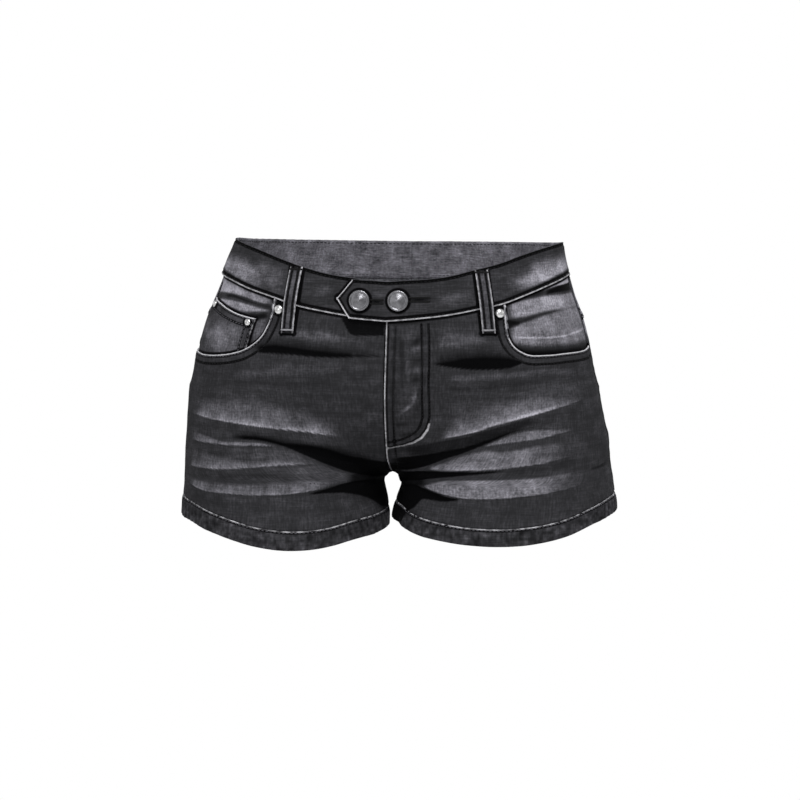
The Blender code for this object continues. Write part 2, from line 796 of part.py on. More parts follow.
# ---- belt loops -------------------------------------------------------------------------------
def loop_place(facing, top_x, bottom_x, drop):
    """Placement of a belt loop: ends on the cloth, middle arched clear of it."""
    side = 1 if top_x >= 0 else -1
    u = share_at(side, abs(top_x), BAND_MIDDLE, facing)
    top_z = float(waist_top(side, u)) - LOOP_BELOW_TOP
    seam_z = float(waist_seam(side, u))

    def place(across, down, which):
        x = top_x + (bottom_x - top_x) * down + LOOP_WIDTH * (across - 0.5)
        z = top_z - drop * down
        seat = WAISTBAND[1] + (PANEL[1] - WAISTBAND[1]) * ease((seam_z - z) / LOOP_STEP)
        arch = LOOP_ARCH * np.sin(math.pi * down) ** 0.7
        out = seat + SEAM_GAP + arch + LOOP_THICKNESS * which
        points, _ = on_face(x, z, facing, out)
        return points

    return place


def build_loops():
    for name, facing, top_x, bottom_x, drop in LOOPS:
        slab(name, 2, 10, loop_place(facing, top_x, bottom_x, drop))


# ---- metal ------------------------------------------------------------------------------------
def turned(name, profile, scale, x, z, seat, steps):
    """A turned piece seated on the front at x and z, its axis along the cloth's outward way."""
    mesh = bmesh.new()
    ring = [mesh.verts.new((r * scale * MM, 0, h * scale * MM)) for r, h in profile]
    edges = [mesh.edges.new(pair) for pair in zip(ring, ring[1:])]
    bmesh.ops.spin(
        mesh, geom=ring + edges, axis=(0, 0, 1), cent=(0, 0, 0), angle=math.tau, steps=steps,
        use_merge=True,
    )
    bmesh.ops.remove_doubles(mesh, verts=mesh.verts[:], dist=0.00001)
    thing = add_object(name, mesh, steel(name))
    point, lead = on_face(x, z, FRONT, seat + SEAM_GAP)
    thing.location = point * MM
    thing.rotation_euler = Vector(lead).to_track_quat("Z", "Y").to_euler()
    return thing


def build_metal():
    for name, x, z in BUTTONS:
        turned(name, BUTTON_PROFILE, 1.0, x, z, WAISTBAND[1] + TAB_LIFT + 0.1, 24)
    for name, x, z, scale, seat in RIVETS:
        turned(name, RIVET_PROFILE, scale, x, z, seat[1], 12)


def main():
    clear_scene()
    build_panels()
    build_waistband()
    build_pockets()
    build_fly()
    build_loops()
    build_metal()


main()
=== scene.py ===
import math
from collections import namedtuple
from functools import partial
from itertools import product

import bmesh
import bpy
import numpy as np
from mathutils import Matrix, Vector
from mathutils.bvhtree import BVHTree


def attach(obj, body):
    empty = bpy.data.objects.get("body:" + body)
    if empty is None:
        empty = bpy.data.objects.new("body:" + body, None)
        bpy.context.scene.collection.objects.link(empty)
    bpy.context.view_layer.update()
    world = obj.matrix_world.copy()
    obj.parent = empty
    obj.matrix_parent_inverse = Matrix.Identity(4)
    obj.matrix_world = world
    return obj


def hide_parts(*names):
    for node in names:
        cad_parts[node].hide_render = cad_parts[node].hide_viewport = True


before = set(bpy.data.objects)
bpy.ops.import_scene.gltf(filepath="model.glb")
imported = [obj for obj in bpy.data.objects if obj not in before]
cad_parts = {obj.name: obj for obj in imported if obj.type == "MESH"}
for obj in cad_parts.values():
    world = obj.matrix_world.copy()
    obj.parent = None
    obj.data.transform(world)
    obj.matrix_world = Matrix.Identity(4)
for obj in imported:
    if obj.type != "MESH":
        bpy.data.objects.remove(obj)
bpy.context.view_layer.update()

bl_info = {
    "name": "Low-rise Denim Shorts",
    "version": (1, 0, 0),
    "blender": (4, 5, 0),
    "location": "3D View > Sidebar > Shorts",
    "description": "Sews worn denim shorts: cloth, topstitching, buttons and rivets",
    "category": "Object",
}

MM = 0.001
FRONT, BACK = -1, 1
SIDES = {"right": -1, "left": 1}


def rows_of(kind, *values):
    """A table's rows: each row of that kind takes its values in order from the list."""
    width = len(kind._fields)
    return tuple(kind(*values[k : k + width]) for k in range(0, len(values), width))


# Lengths are millimetres, except in the settings, cuts, finishes and stage, where they are metres.
# +Z is up, the front faces -Y, +X is the wearer's left. "u" runs round one half of the body:
# 0 centre front or inseam, 1 side seam, 2 centre back or inseam.

# ---- the hollow form: half widths and depths at each height ----
Section = namedtuple("Section", "z seam_x right left front back")
SECTIONS = rows_of(
    Section,
    40, 0, 139, 139.5, 90, 97, 20, 0, 145.5, 143.5, 93, 101, 5, 0, 152, 146, 95.5, 105,
    -25, -1, 162, 155, 98.5, 113, -52, -1.5, 173, 165, 100, 120, -81, -2.5, 179.5, 172, 99, 126,
    -110, -4, 179, 175, 96, 130, -139, -5, 180, 181, 91, 130, -167, -6, 182, 187.5, 86, 124,
    -196, -7, 186.5, 196.5, 84, 115, -212, -8, 187.5, 201.5, 84, 111, -225, -9, 187.5, 203, 84, 108,
    -255, -10, 188, 204, 84, 104,
)
Leg = namedtuple("Leg", "z gap front back")
LEGS = rows_of(
    Leg,
    -100, 16, 66, 76, -125, 14.5, 79, 92, -150, 13, 88, 102, -170, 12, 93, 106, -190, 10.8, 96, 107,
    -205, 7.6, 98, 106, -215, 4.6, 99, 105, -224, 2.9, 101, 104, -236, 2.5, 102, 103, -260, 2.5, 103, 101,
)
CROTCH_Z = -187.6
CROTCH_BOW_FRONT, CROTCH_BOW_BACK = 75, 112
TRUNK_SQUARE, LEG_SQUARE = 2.35, 2.12
RISE_BLEND = 42
LEG_BLEND_INNER, LEG_BLEND_OUTER, LEG_BLEND_REACH = 17, 24, 120
LEG_TOP, LEG_FADE = -110, 0.6
FORM_REACH, TINY = 240, 1e-6
STRAIGHTEN, LEAN_STEP = 3, 0.6
HALVINGS = 22

# ---- seam lines, as heights along u ----
Waist = namedtuple("Waist", "u top_right top_left seam_right seam_left")
WAIST = rows_of(
    Waist,
    0, -11.5, -11.5, -46, -46, 0.17, -5, -7, -38, -40.5, 0.26, 0, -2, -34, -36.5, 0.37, 6.5, 3, -27.5, -32,
    0.5, 13, 10, -21.5, -24.5, 0.67, 18.5, 16, -14.5, -16.5, 0.84, 21, 18.5, -11, -12,
    1, 21, 18.5, -10.5, -11, 1.33, 18, 16, -15.5, -17, 1.66, 15.5, 14.5, -19.5, -20, 2, 14, 14, -21, -21,
)
Edge = namedtuple("Edge", "u right left")
HEM = rows_of(
    Edge,
    0, -238, -228, 0.15, -239, -228.5, 0.26, -241, -234, 0.34, -245, -237, 0.44, -246.5, -239.5,
    0.54, -243, -239.5, 0.61, -238, -237.5, 0.7, -232, -232.5, 0.76, -228, -227.5, 0.87, -225.5, -221.5,
    1, -225, -220, 1.3, -229, -226, 1.6, -237, -235, 1.85, -240, -234, 2, -238, -228,
)
HEM_HEIGHT = {"right": 17, "left": 15.2}
YOKE = rows_of(
    Edge,
    1, -48, -48.5, 1.4, -57, -57.5, 1.75, -74, -74.5, 2, -90, -90,
)
Spot = namedtuple("Spot", "u z")
MOUTH = {
    "right": rows_of(
        Spot,
        0.37, -27.5, 0.369, -41, 0.383, -52, 0.402, -60, 0.441, -67.5, 0.49, -73, 0.554, -76.5, 0.644, -79,
        0.745, -80, 0.881, -79, 1, -78,
    ),
    "left": rows_of(
        Spot,
        0.387, -31, 0.381, -47, 0.387, -59, 0.413, -68, 0.461, -74, 0.569, -76, 0.677, -75.5, 0.86, -75,
        1, -73,
    ),
}
U_LENGTH = 215

# ---- folds that the solids have too: soft ridges (+) and troughs (-) ----
Fold = namedtuple("Fold", "x0 z0 x1 z1 bow height above below")
FRONT_FOLDS = rows_of(
    Fold,
    -118, -78, -20, -76, 0, -1.2, 7, 7,
    -190, -134, -58, -146, 1, 2.6, 9, 8,
    -190, -157, -96, -156, -2, 1.6, 8, 8,
    -140, -151, -10, -184, 4, -4.6, 9, 8,
    -184, -179, -50, -175, -2, 3.2, 8, 8,
    -188, -197, -48, -195, -2, 2.2, 8, 8,
    -90, -191, -12, -208, -3, -3, 7, 8,
    40, -81, 98, -81, -7, -2, 9, 7,
    88, -117, 172, -103, 2, 1.2, 8, 8,
    46, -152, 178, -117, 2, 4, 9, 8,
    130, -139, 16, -174, -2, -4.2, 8, 8,
    28, -175, 174, -158, 5, 3, 8, 8,
    16, -186, 194, -175, -2, -2.4, 7, 7,
    20, -193, 182, -181, 3, 3.2, 8, 9,
    18, -192, 70, -205, -2, -2, 7, 7,
)
BACK_FOLDS = rows_of(
    Fold,
    -190, -150, -140, -160, -2, 2, 10, 8,
    -128, -204, -14, -190, -5, -3.8, 9, 9,
    -188, -190, -60, -212, -2, 2.2, 9, 9,
    -26, -122, -10, -166, 3, -1.8, 9, 9,
    -44, -44, 30, -46, -4, -1.2, 8, 8,
    144, -166, 196, -150, -2, 2.2, 9, 9,
    14, -188, 136, -202, -6, -3.6, 9, 9,
    70, -212, 198, -192, -3, 2, 9, 9,
    10, -160, 27, -112, 3, -1.6, 9, 9,
)
FOLD_BLEND = 36
STIFF_HALF, STIFF_TOP, STIFF_BOTTOM, STIFF_SOFT = 70, -88, -198, 14
Wrinkle = namedtuple("Wrinkle", "u height width")
HEM_WRINKLES = {
    "right": rows_of(
        Wrinkle,
        0.16, 1.2, 0.03, 0.33, -1.1, 0.026, 0.47, 1.3, 0.034, 0.66, -1, 0.03, 0.83, 1.1, 0.028,
        1.24, -1.2, 0.04, 1.47, 1.4, 0.036, 1.72, -1.1, 0.034,
    ),
    "left": rows_of(
        Wrinkle,
        0.14, -1, 0.026, 0.29, 1.3, 0.034, 0.44, -1.1, 0.026, 0.58, 1.2, 0.03, 0.79, -1.2, 0.034,
        1.18, 1.2, 0.036, 1.4, -1.1, 0.03, 1.66, 1.3, 0.04,
    ),
}
HEM_WRINKLE_REACH = 26

# ---- wear, painted shade and painted highlight on the cloth: areas between two lines, and small spots ----
# top and low are heights at equal steps from x0 to x1; above and below are how softly it ends.
# body is how much of the fade is left away from the lower line, where the cloth wears most.
# the crease column darkens the colour: painted shade where shade falls, and in creases dye that the wash
# left dark as well; the fade column pales it with the wash, and on the hips with a painted highlight as
# well
Area = namedtuple("Area", "x0 x1 top low above below ends fade crease lift body")
FRONT_AREAS = rows_of(
    Area,
    # wearer's right leg: bleached creases, each pale down to a crisp lower line
    -183, -40, (-120.4, -115.6, -113, -113.2, -116.3, -121.1, -127.9, -137), (-132.7, -135.3, -137.3,
    -139.4, -141.5, -143.5, -146.4, -150.2), 12, 1, (20, 26), 0.85, 0, 1, 0.24,
    -182, -96, (-148.3, -149.9, -153.1, -153.1, -153.5, -156.3), (-156.6, -157.1, -157.2, -157.2, -156.9,
    -157.6), 2, 1, 10, 0.52, 0, 0.8, 0.42,
    -173, -61, (-112.7, -111.3, -112.2, -115.1, -118.9, -125.3), (-115.3, -113.9, -114.8, -117.7, -121.6,
    -128), 1, 5, 14, 0.1, 0, 0.2, 1,
    -145, -61, (-158.8, -158.4, -157.4, -158.8, -165.2, -172.7), (-167.8, -169.2, -170.6, -171.6, -171.9,
    -173.2), 2, 4, 16, 0.1, 0, 0.2, 1,
    -184, -61, (-164, -163.8, -165.4, -166.4, -166.1, -165.5, -167.6, -170.9), (-180, -179.1, -178.1,
    -176.4, -174.5, -172.9, -172.3, -172.2), 6, 1, 8, 0.64, 0, 0.9, 0.22,
    -91, -34, (-173.2, -172.5, -172.7, -179.1, -185.1), (-184.9, -189.5, -193.4, -191.3, -189.4), 1.5, 3,
    14, 0.1, 0, 0, 1,
    -184, -52, (-188.1, -188.2, -188.3, -187.7, -187, -185.9, -184.6, -184.3, -185), (-194.2, -198.1,
    -198.7, -198.7, -198.9, -198.4, -197.6, -195.7, -192.6), 4, 1, (10, 16), 0.54, 0, 0.9, 0.34,
    -49, -15, (-202.1, -205.5, -211.5, -217.9), (-221.4, -221.6, -221.5, -221.3), 4, 4, 10, 0.06, 0, 0, 1,
    # wearer's left leg
    41, 173, (-139.4, -126.5, -117.3, -111.7, -107.5, -104.2, -101.9, -100.4, -99.9), (-150.8, -147,
    -142.6, -137, -132.3, -128, -123.8, -119.6, -115.2), 16, 1, (14, 40), 0.88, 0, 1, 0.3,
    103, 147, (-129.3, -125.5, -122, -118.7), (-133.4, -129.6, -125.9, -122.2), 2, 1, 12, 0.2, 0, 0, 1,
    87, 167, (-114, -109.6, -106.2, -103.7, -102.3, -102.4), (-116.6, -112.5, -109.2, -106.7, -105.2,
    -104.8), 1, 6, 14, 0.16, 0, 0.2, 1,
    44, 96, (-115.8, -110.5, -110.4, -115.7), (-132.1, -126.5, -122.1, -117.4), 8, 6, 14, 0.07, 0, 0, 1,
    81, 161, (-154.5, -147.8, -142.1, -140.4, -140.7, -140.3), (-155.8, -152.9, -150.8, -148.8, -145.2,
    -142), 1.2, 1, (8, 20), 0.5, 0, 0.8, 0.52,
    33, 166, (-175.2, -167.8, -161.5, -157.3, -157.5, -154.5, -152.5, -151.3, -150.8), (-177.9, -177,
    -175.9, -175, -173.6, -171.4, -169.5, -166.1, -163), 3, 1, (5, 50), 0.62, 0, 1, 0.52,
    28, 175, (-191.4, -185.1, -183.3, -182.3, -181.7, -180.9, -179.7, -177.8, -176.2), (-193.1, -197.6,
    -199.8, -199.6, -198.6, -196.8, -194.6, -191.7, -186.5), 1.5, 1, (4, 60), 0.58, 0, 1, 0.7,
    # deep creases from the crotch and under the pockets, black in their depth: painted shade, with dye
    # that the wash left dark as well
    -146, -7, (-143, -142.7, -145.5, -148.8, -151.6, -156.1, -162.2, -165.9), (-151.7, -151.9, -154.1,
    -158.6, -165, -172.4, -176.5, -177.9), 7, 2, 26, 0, 0.7, -0.8, 1,
    -146, 14, (-147.9, -147.2, -148.5, -152.6, -154.3, -158.3, -165.6, -170.6, -173.1, -174.5), (-152,
    -152.3, -153.6, -158.1, -165.7, -174.1, -182.6, -188.8, -191.5, -193.6), 2.5, 1, 20, 0, 0.98, -1.6,
    1,
    -41, 6, (-182.9, -183, -178.2, -175.4), (-191.4, -194.9, -201.6, -205.9), 2, 2, 6, 0, 0.86, -0.4, 1,
    -73, 10, (-198, -193.6, -189.9, -190.6, -194.1, -196.5), (-199.5, -199.2, -201.2, -209.9, -229.5,
    -252.8), 1.2, 1.2, 8, 0, 0.98, -1.6, 1,
    2, 135, (-157.8, -156.2, -153.3, -149.4, -145.3, -139.9, -134.9, -130.2, -126.2), (-169.8, -167.4,
    -164.8, -161, -156.4, -150.6, -144.4, -138.9, -135.4), 1.2, 3, 18, 0, 0.62, -0.8, 1,
    -10, 134, (-168.4, -167.4, -165.5, -162.9, -159.2, -155.8, -151.1, -145.9, -140.9, -138, -137.1),
    (-184, -182.5, -179.7, -174.7, -168.1, -162.9, -156.9, -150.6, -143.9, -139.8, -139.7), 2, 1, 18,
    0, 0.98, -1.8, 1,
    -4, 104, (-184.1, -182.6, -180.1, -178.2, -177.4, -176.5, -175.8, -174.9, -173.9), (-193.9, -192.2,
    -189.1, -185.7, -183.1, -180.9, -179.1, -177.4, -175.6), 0.8, 1, 14, 0, 0.98, -1.4, 1,
    -2, 64, (-195.3, -194.6, -193.4, -192.2, -193.5, -195.1, -196.9, -198.7, -199.6, -199.9), (-219.7,
    -218.5, -217.1, -212.8, -205.1, -204.3, -204.7, -204.4, -203, -201.2), 1, 1.2, 6, 0, 0.98, -1.2, 1,
    -4, 34, (-189.3, -187.9, -185.4, -182.9), (-197.6, -196.6, -194.9, -193.1), 3, 3, 8, 0, 0.9, 0, 1,
    169, 187, (-176.7, -175.9, -173), (-179.6, -179.6, -178.1), 1.5, 1.5, 6, 0, 0.6, -0.4, 1,
    97, 173, (-174.1, -172.2, -170.2, -168.2, -166.7, -165.5), (-180.5, -180.1, -179.3, -177.5, -175.5,
    -173.3), 2, 4, 14, 0, 0.2, -0.3, 1,
    -124, -2, (-62, -60.5, -60.4, -61.7, -64, -66.5, -68.1, -69.4), (-73, -72.4, -73, -74.4, -75.3, -75.4,
    -75.1, -74.7), 8, 2, 14, 0, 0.62, -0.6, 1,
    -119, -29, (-69.3, -66.8, -68.2, -70.3, -72, -73.1), (-75.5, -75.9, -76.6, -77.9, -78.1, -77.3), 2.5,
    1.1, 6, 0, 0.97, -0.9, 1,
    -46, 4, (-72.6, -73.5, -74, -74.4), (-78, -77.3, -76.5, -75.9), 1.5, 1.1, 16, 0, 0.85, -0.3, 1,
    35, 116, (-75.1, -69.9, -67.1, -66.4, -68.8, -75.2), (-82.1, -80.7, -79.8, -79.9, -80.7, -80.5), 9, 2,
    12, 0, 0.66, -0.6, 1,
    36, 120, (-80.9, -78, -75.8, -75.5, -76.7, -80.2), (-82.2, -85.8, -87.9, -88.3, -87, -81), 2.5, 1.1, 8,
    0, 0.98, -0.9, 1,
    38, 147, (-102.4, -101.5, -100.3, -97.6, -97.1, -98.5), (-107.7, -106.9, -106.2, -105, -103.4, -101.9),
    3, 3, 24, 0, 0.3, -0.3, 1,
    -151, -51, (-101, -98.7, -100.1, -99.3, -97.1), (-104.5, -103.4, -104.6, -103.8, -101.6), 3, 3, 20, 0,
    0.22, -0.3, 1,
    -172, -111, (-163.3, -162, -160.9, -160.3, -159.7), (-168.5, -167.7, -166.8, -165.7, -164.7), 2.5, 2.5,
    16, 0, 0.22, 0, 1,
    -175, -99, (-183.2, -181.9, -180.6, -179.3, -178.1, -177), (-188, -187.3, -186.6, -185.7, -184.6,
    -183.5), 2.5, 2.5, 16, 0, 0.2, 0, 1,
    # the waistband's pointed end throws the cloth under it into shade
    -41, -1, (-37.8, -37.7, -37.6, -37.6, -37.5, -37.4, -37.4, -37.3, -37.3, -37.3, -37.2, -37.2), (-43.9,
    -49.1, -55.7, -58.1, -58.7, -58.7, -58.7, -58.7, -58.6, -58.5, -58.4, -58.3), 2, 1, 2, 0, 0.93, 0,
    1,
    # rounds between the creases, worn a little
    -93, -15, (-52.5, -51.5, -53.1, -57.4, -61.7), (-61.5, -65.6, -66.8, -67.2, -67.8), 5, 6, 12, 0.15, 0,
    0.2, 1,
    -141, -33, (-88, -86.6, -81.4, -81.5, -81.9), (-98.6, -98.1, -97.1, -93.8, -91.6), 6, 5, 16, 0.085, 0,
    0.1, 1,
    38, 96, (-56.2, -53.8, -53.7, -57.8, -64.4), (-70.9, -69.3, -67.8, -66.5, -67), 6, 5, 10, 0.17, 0, 0.2,
    1,
    45, 167, (-90.9, -90.2, -89.7, -87.5, -87.1, -88.8), (-98.8, -99.6, -97.8, -95.1, -95.7, -97.3), 3, 4,
    16, 0.12, 0, 0.1, 1,
)
BAND_AREAS = rows_of(
    Area,
    # the pale hips: worn, with a painted highlight as well; then smaller worn patches
    -172, -109, (11.3, 11.3, 11.3, 8.5, -3.3), (-1.1, -5, -11.4, -17.2, -22.9), 12, 3, 16, 0.46, 0, 0, 1,
    -126, -85, (11.5, 7.5, 3.2, -0.8), (-16.8, -21.2, -24.8, -28), 8, 8, 16, 0.16, 0, 0, 1,
    95, 172, (-14.6, -0.7, 9.6, 13.2, 14.8, 16.2), (-25.7, -21.5, -16.7, -10.1, -2.3, 3.5), 16, 3, (40,
    10), 0.66, 0, 0, 1,
    95, 129, (-7, -6.7, -5.3, -2.9), (-20.6, -18.1, -15.3, -12.3), 6, 4, 14, 0.16, 0, 0, 1,
    -67, -43, (-10.8, -11.4, -15.5), (-27.9, -27.7, -27.4), 8, 8, 10, 0.12, 0, 0, 1,
    41, 75, (-23.6, -20.7, -18.2, -16.1), (-32.1, -31, -29.3, -27.2), 6, 6, 12, 0.14, 0, 0, 1,
)
FACING_AREAS = rows_of(
    Area,
    # pale bands, worn and with a painted highlight as well; dark folds, and shadows under the waist seam
    # and inside the pocket mouth, all painted shade
    -182, -101, (-5.3, -8.4, -11.5, -15.8, -21.1, -23.6), (-27.4, -26.6, -25.4, -27.2, -31.6, -34), 3, 1.5,
    12, 0.62, 0, 0.2, 1,
    -182, -129, (-9.6, -12.1, -14.5, -17.2, -21.6), (-26.7, -25.9, -25.2, -24.2, -26.7), 3, 2, 10, 0.22, 0,
    0, 1,
    -156, -101, (-26, -25.3, -29, -32.4, -34.4), (-29.3, -29.2, -32.1, -34.8, -37), 1.5, 1.8, 8, 0, 0.82,
    -0.6, 1,
    -164, -103, (-29.9, -29.6, -31.4, -34.6, -37.5), (-33.7, -36.8, -40.9, -40.5, -39.5), 2, 2.5, 8, 0.6,
    0, 0.2, 1,
    -138, -106, (-40.7, -41, -40.7, -39.2), (-44.4, -45.8, -46.7, -44.8), 1.5, 2, 5, 0, 0.8, -0.3, 1,
    -125, -107, (-47, -45.1, -43.1), (-70.5, -68.4, -61.9), 3, 4, 5, 0.2, 0, 0, 1,
    101, 182, (-30.1, -27, -24.2, -23.8, -23.9, -24), (-44.9, -43.4, -39.8, -38.5, -37.5, -36.5), 2.5, 2.5,
    8, 0.6, 0, 0.2, 1,
    109, 131, (-36.5, -34.6, -34), (-41.6, -40.9, -38.2), 2.5, 2, 8, 0.14, 0, 0, 1,
    134, 150, (-27.3, -26.3, -27.2), (-34.2, -34.7, -34.8), 3, 3, 7, 0.14, 0, 0, 1,
    102, 182, (-49, -45.9, -40.5, -36.8, -35.5, -34.5), (-67.1, -69, -70.2, -70.1, -69.8, -69.6), 2.5, 5,
    8, 0.42, 0, 0.1, 1,
    106, 182, (-59.1, -59.7, -60.2, -59.2, -55.8, -53.5), (-61, -61.8, -62.4, -61.6, -58.6, -56.4), 0.8,
    1.4, 10, 0.42, 0, 0.3, 1,
    106, 184, (-64.6, -68, -68.7, -68.5, -68.2, -67.9), (-88, -90.3, -91.1, -91.3, -88.8, -86.8), 6, 1, 3,
    0, 0.98, 0, 1,
    101, 155, (-45.1, -44.2, -40.1, -37.7, -37.3), (-51.4, -48.2, -43.2, -40.6, -39.2), 1.5, 1.8, (6, 36),
    0, 0.5, -0.6, 1,
    99, 116, (-42.1, -44.6, -46.1), (-55, -52.7, -49.5), 2, 2.5, 5, 0, 0.85, -0.3, 1,
    132, 180, (-21.2, -16.6, -16.5, -16.4), (-24.7, -23.3, -24.6, -25.7), 1, 1, 5, 0, 0.98, -0.5, 1,
    112, 135, (-24.5, -21, -18.1), (-29.8, -26.7, -24.1), 1.5, 2.5, 7, 0, 0.6, 0, 1,
    129, 180, (-19.1, -14.1, -10.9, -9.4, -7.9), (-21.9, -18.2, -16.9, -16.9, -16.9), 1, 1, 5, 1, 0, 0, 1,
)
# the pale of the pockets, worn and with a painted highlight as well, runs on past the sides onto the back
SIDE_AREAS = rows_of(
    Area,
    -215, -150, (0, 0, 0), (-54, -50, -50), 3, 9, (1, 10), 0.62, 0, 0, 1,
    150, 215, (0, 0, 0), (-72, -70, -68), 3, 12, (10, 1), 0.72, 0, 0, 1,
)
# the hem's inner end is hidden in the shade between the legs
HEM_AREAS = rows_of(
    Area,
    -8, 16, (-190, -190, -190), (-254.5, -233.8, -213), 2, 1, 2, 0, 0.97, 0, 1,
)
Mark = namedtuple("Mark", "x z half_length half_width turn lift fade crease")
# puckers round the fly: their troughs darkened with painted shade, their tops paler
FLY_SPOTS = rows_of(
    Mark,
    12, -78, 26, 1.8, 90, -0.4, 0, 0.5,
    17, -84, 18, 1.8, 90, 0.3, 0.12, 0,
    26, -62, 7, 2.2, 40, -0.9, 0, 0.6,
    26, -69, 6, 2.2, 20, 0.6, 0.2, 0,
    27, -79, 6, 2, 5, -0.8, 0, 0.55,
    26, -87, 6, 2.4, 5, 0.5, 0.16, 0,
    26, -96, 6, 2.2, 10, -0.8, 0, 0.55,
    28, -104, 8, 2.4, 60, -0.7, 0, 0.5,
    22, -112, 5, 1.6, 75, 0.6, 0.42, 0,
    16, -121, 5, 1.5, 35, 0.5, 0.36, 0,
    27, -118, 8, 2, 55, -0.6, 0, 0.45,
    10, -137, 8, 1.8, 8, -0.6, 0, 0.5,
    17, -146, 9, 1.8, 5, -0.6, 0, 0.55,
    9, -142, 6, 1.6, -8, 0.4, 0.14, 0,
    4, -100, 40, 1.6, 88, -0.3, 0, 0.35,
)
COIN_SPOTS = rows_of(
    Mark,
    -152, -63, 22, 17, 0, 0, 0.4, 0,
    -128, -60, 8, 3, 80, 0, 0, 0.4,
)
# the buttonholes' slits, darkened to black with painted shade
BAND_SPOTS = rows_of(
    Mark,
    -9.2, -29, 6.5, 1.3, 0, -0.4, 0, 1,
    27, -27, 10.5, 1.3, 0, -0.4, 0, 1,
)
BACK_SPOTS = rows_of(
    Mark,
    -88, -142, 46, 34, 0, 0, 0.3, 0,
    88, -142, 46, 34, 0, 0, 0.3, 0,
    -60, -212, 50, 9, -6, 0, 0.18, 0,
    64, -210, 50, 9, 6, 0, 0.18, 0,
    0, -112, 20, 30, 0, 0, 0.1, 0,
    -120, -60, 50, 14, 10, 0, 0.14, 0,
    120, -60, 50, 14, -10, 0, 0.14, 0,
    -100, -4, 60, 9, 0, 0, 0.22, 0,
    100, -4, 60, 9, 0, 0, 0.22, 0,
    -158, -34, 14, 20, 0, 0, 0.45, 0,
    162, -42, 14, 24, 0, 0, 0.55, 0,
)
# back folds: ridges paler, troughs darkened with painted shade as well as dye that the wash left dark
BACK_FOLD_FADE, BACK_FOLD_CREASE = 0.2, 0.26

# ---- layers: how far each face lies out from the body's form ----
PANEL_OUT, PANEL_THICK = 1.2, 1.1
BAND_OUT, BAND_IN, BAND_THICK = 2, -0.4, 1.05
HEM_OUT, HEM_IN, HEM_THICK = 1.7, -0.9, 1
FACING_OUT = {"right": -1.9, "left": -0.8}
COIN_OUT, PATCH_OUT, PATCH_DROOP = -0.5, 2.8, 0.6
SHIELD_OUT, ZIP_OUT = -0.6, -2.1
LAYER_THICK = 1
SEAM_GAP = 0.3

TAB_LENGTH, TAB_SHOULDER, TAB_TIP_DROP = 41, 29.5, 17.5
TAB_NARROWEST, TAB_LIFT, BAND_MIDDLE = 0.92, 2.7, -20
TAB_RAMP_START, TAB_RAMP_END, UNDERLAP = 20, 36, 16

LOOP_WIDTH, LOOP_THICKNESS, LOOP_ARCH, LOOP_ARCH_POWER = 11, 1.5, 3, 0.7
LOOP_BELOW_TOP, LOOP_STEP = 1, 6
Loop = namedtuple("Loop", "name facing top_x bottom_x drop")
LOOPS = rows_of(
    Loop,
    "front_right", FRONT, -79.5, -88, 57,
    "front_left", FRONT, 78.5, 86, 54,
    "back_right", BACK, -92, -95, 54,
    "back_left", BACK, 92, 95, 54,
    "centre_back", BACK, 0, 0, 54,
)
POCKET_TOP, POCKET_TILT, POCKET_CENTRE = -98, 6, 92
POCKET_START, POCKET_END = 0.35, 0.85
POCKET_SIDE, POCKET_POINT = 68, 87
COIN_OUTER, COIN_INNER_TOP, COIN_INNER_BOTTOM = 0.89, 0.452, 0.486
COIN_TOP = rows_of(
    Spot,
    0.45, -45.5, 0.55, -42.5, 0.64, -38.5, 0.74, -34, 0.89, -30.5,
)
COIN_BOTTOM = rows_of(
    Spot,
    0.45, -79, 0.55, -84, 0.64, -87, 0.74, -88, 0.89, -87,
)
FACING_INNER, FACING_UNDER, FACING_DROP = 0.345, 1.03, 9
SHIELD_BOX = (-6, 27, -47, -152)
ZIP_BOX = (-5, 13, -51, -146)
ZIP_CHAIN = (4, -58, -142)
TOOTH, TOOTH_PITCH, TOOTH_SHIFT, SLIDER = (3, 1.4, 1), 1.4, 0.8, (8.5, 3.4, 9)
ZIP_EDGE = 0.12

# ---- lines of sewing on the front, by x and z ----
At = namedtuple("At", "x z")
FLY_STITCH = rows_of(
    At,
    35, -48.5, 35.5, -64, 35.5, -81, 34.8, -100, 34.8, -116, 34.5, -130, 31.5, -140, 26, -147.5, 19, -152,
    8, -156, -5, -158.5,
)
FLY_STITCH_GAP = 6
BUTTONHOLES, HOLE_EDGE = ((-14.5, -3.5, -29), (18.5, 36, -27)), 1.7
Stud = namedtuple("Stud", "node x z size seat")
STUDS = rows_of(
    Stud,
    "rivet_pocket_right", -96, -37, 1, PANEL_OUT,
    "rivet_pocket_left", 95, -39, 1, PANEL_OUT,
    "rivet_coin_inner", -126, -49, 0.75, COIN_OUT,
    "rivet_coin_outer", -162, -36, 0.75, COIN_OUT,
)
BUTTONS = rows_of(
    Stud,
    "button_1", -24, -28, 1, 4.8,
    "button_2", 9, -28, 1, 4.8,
)

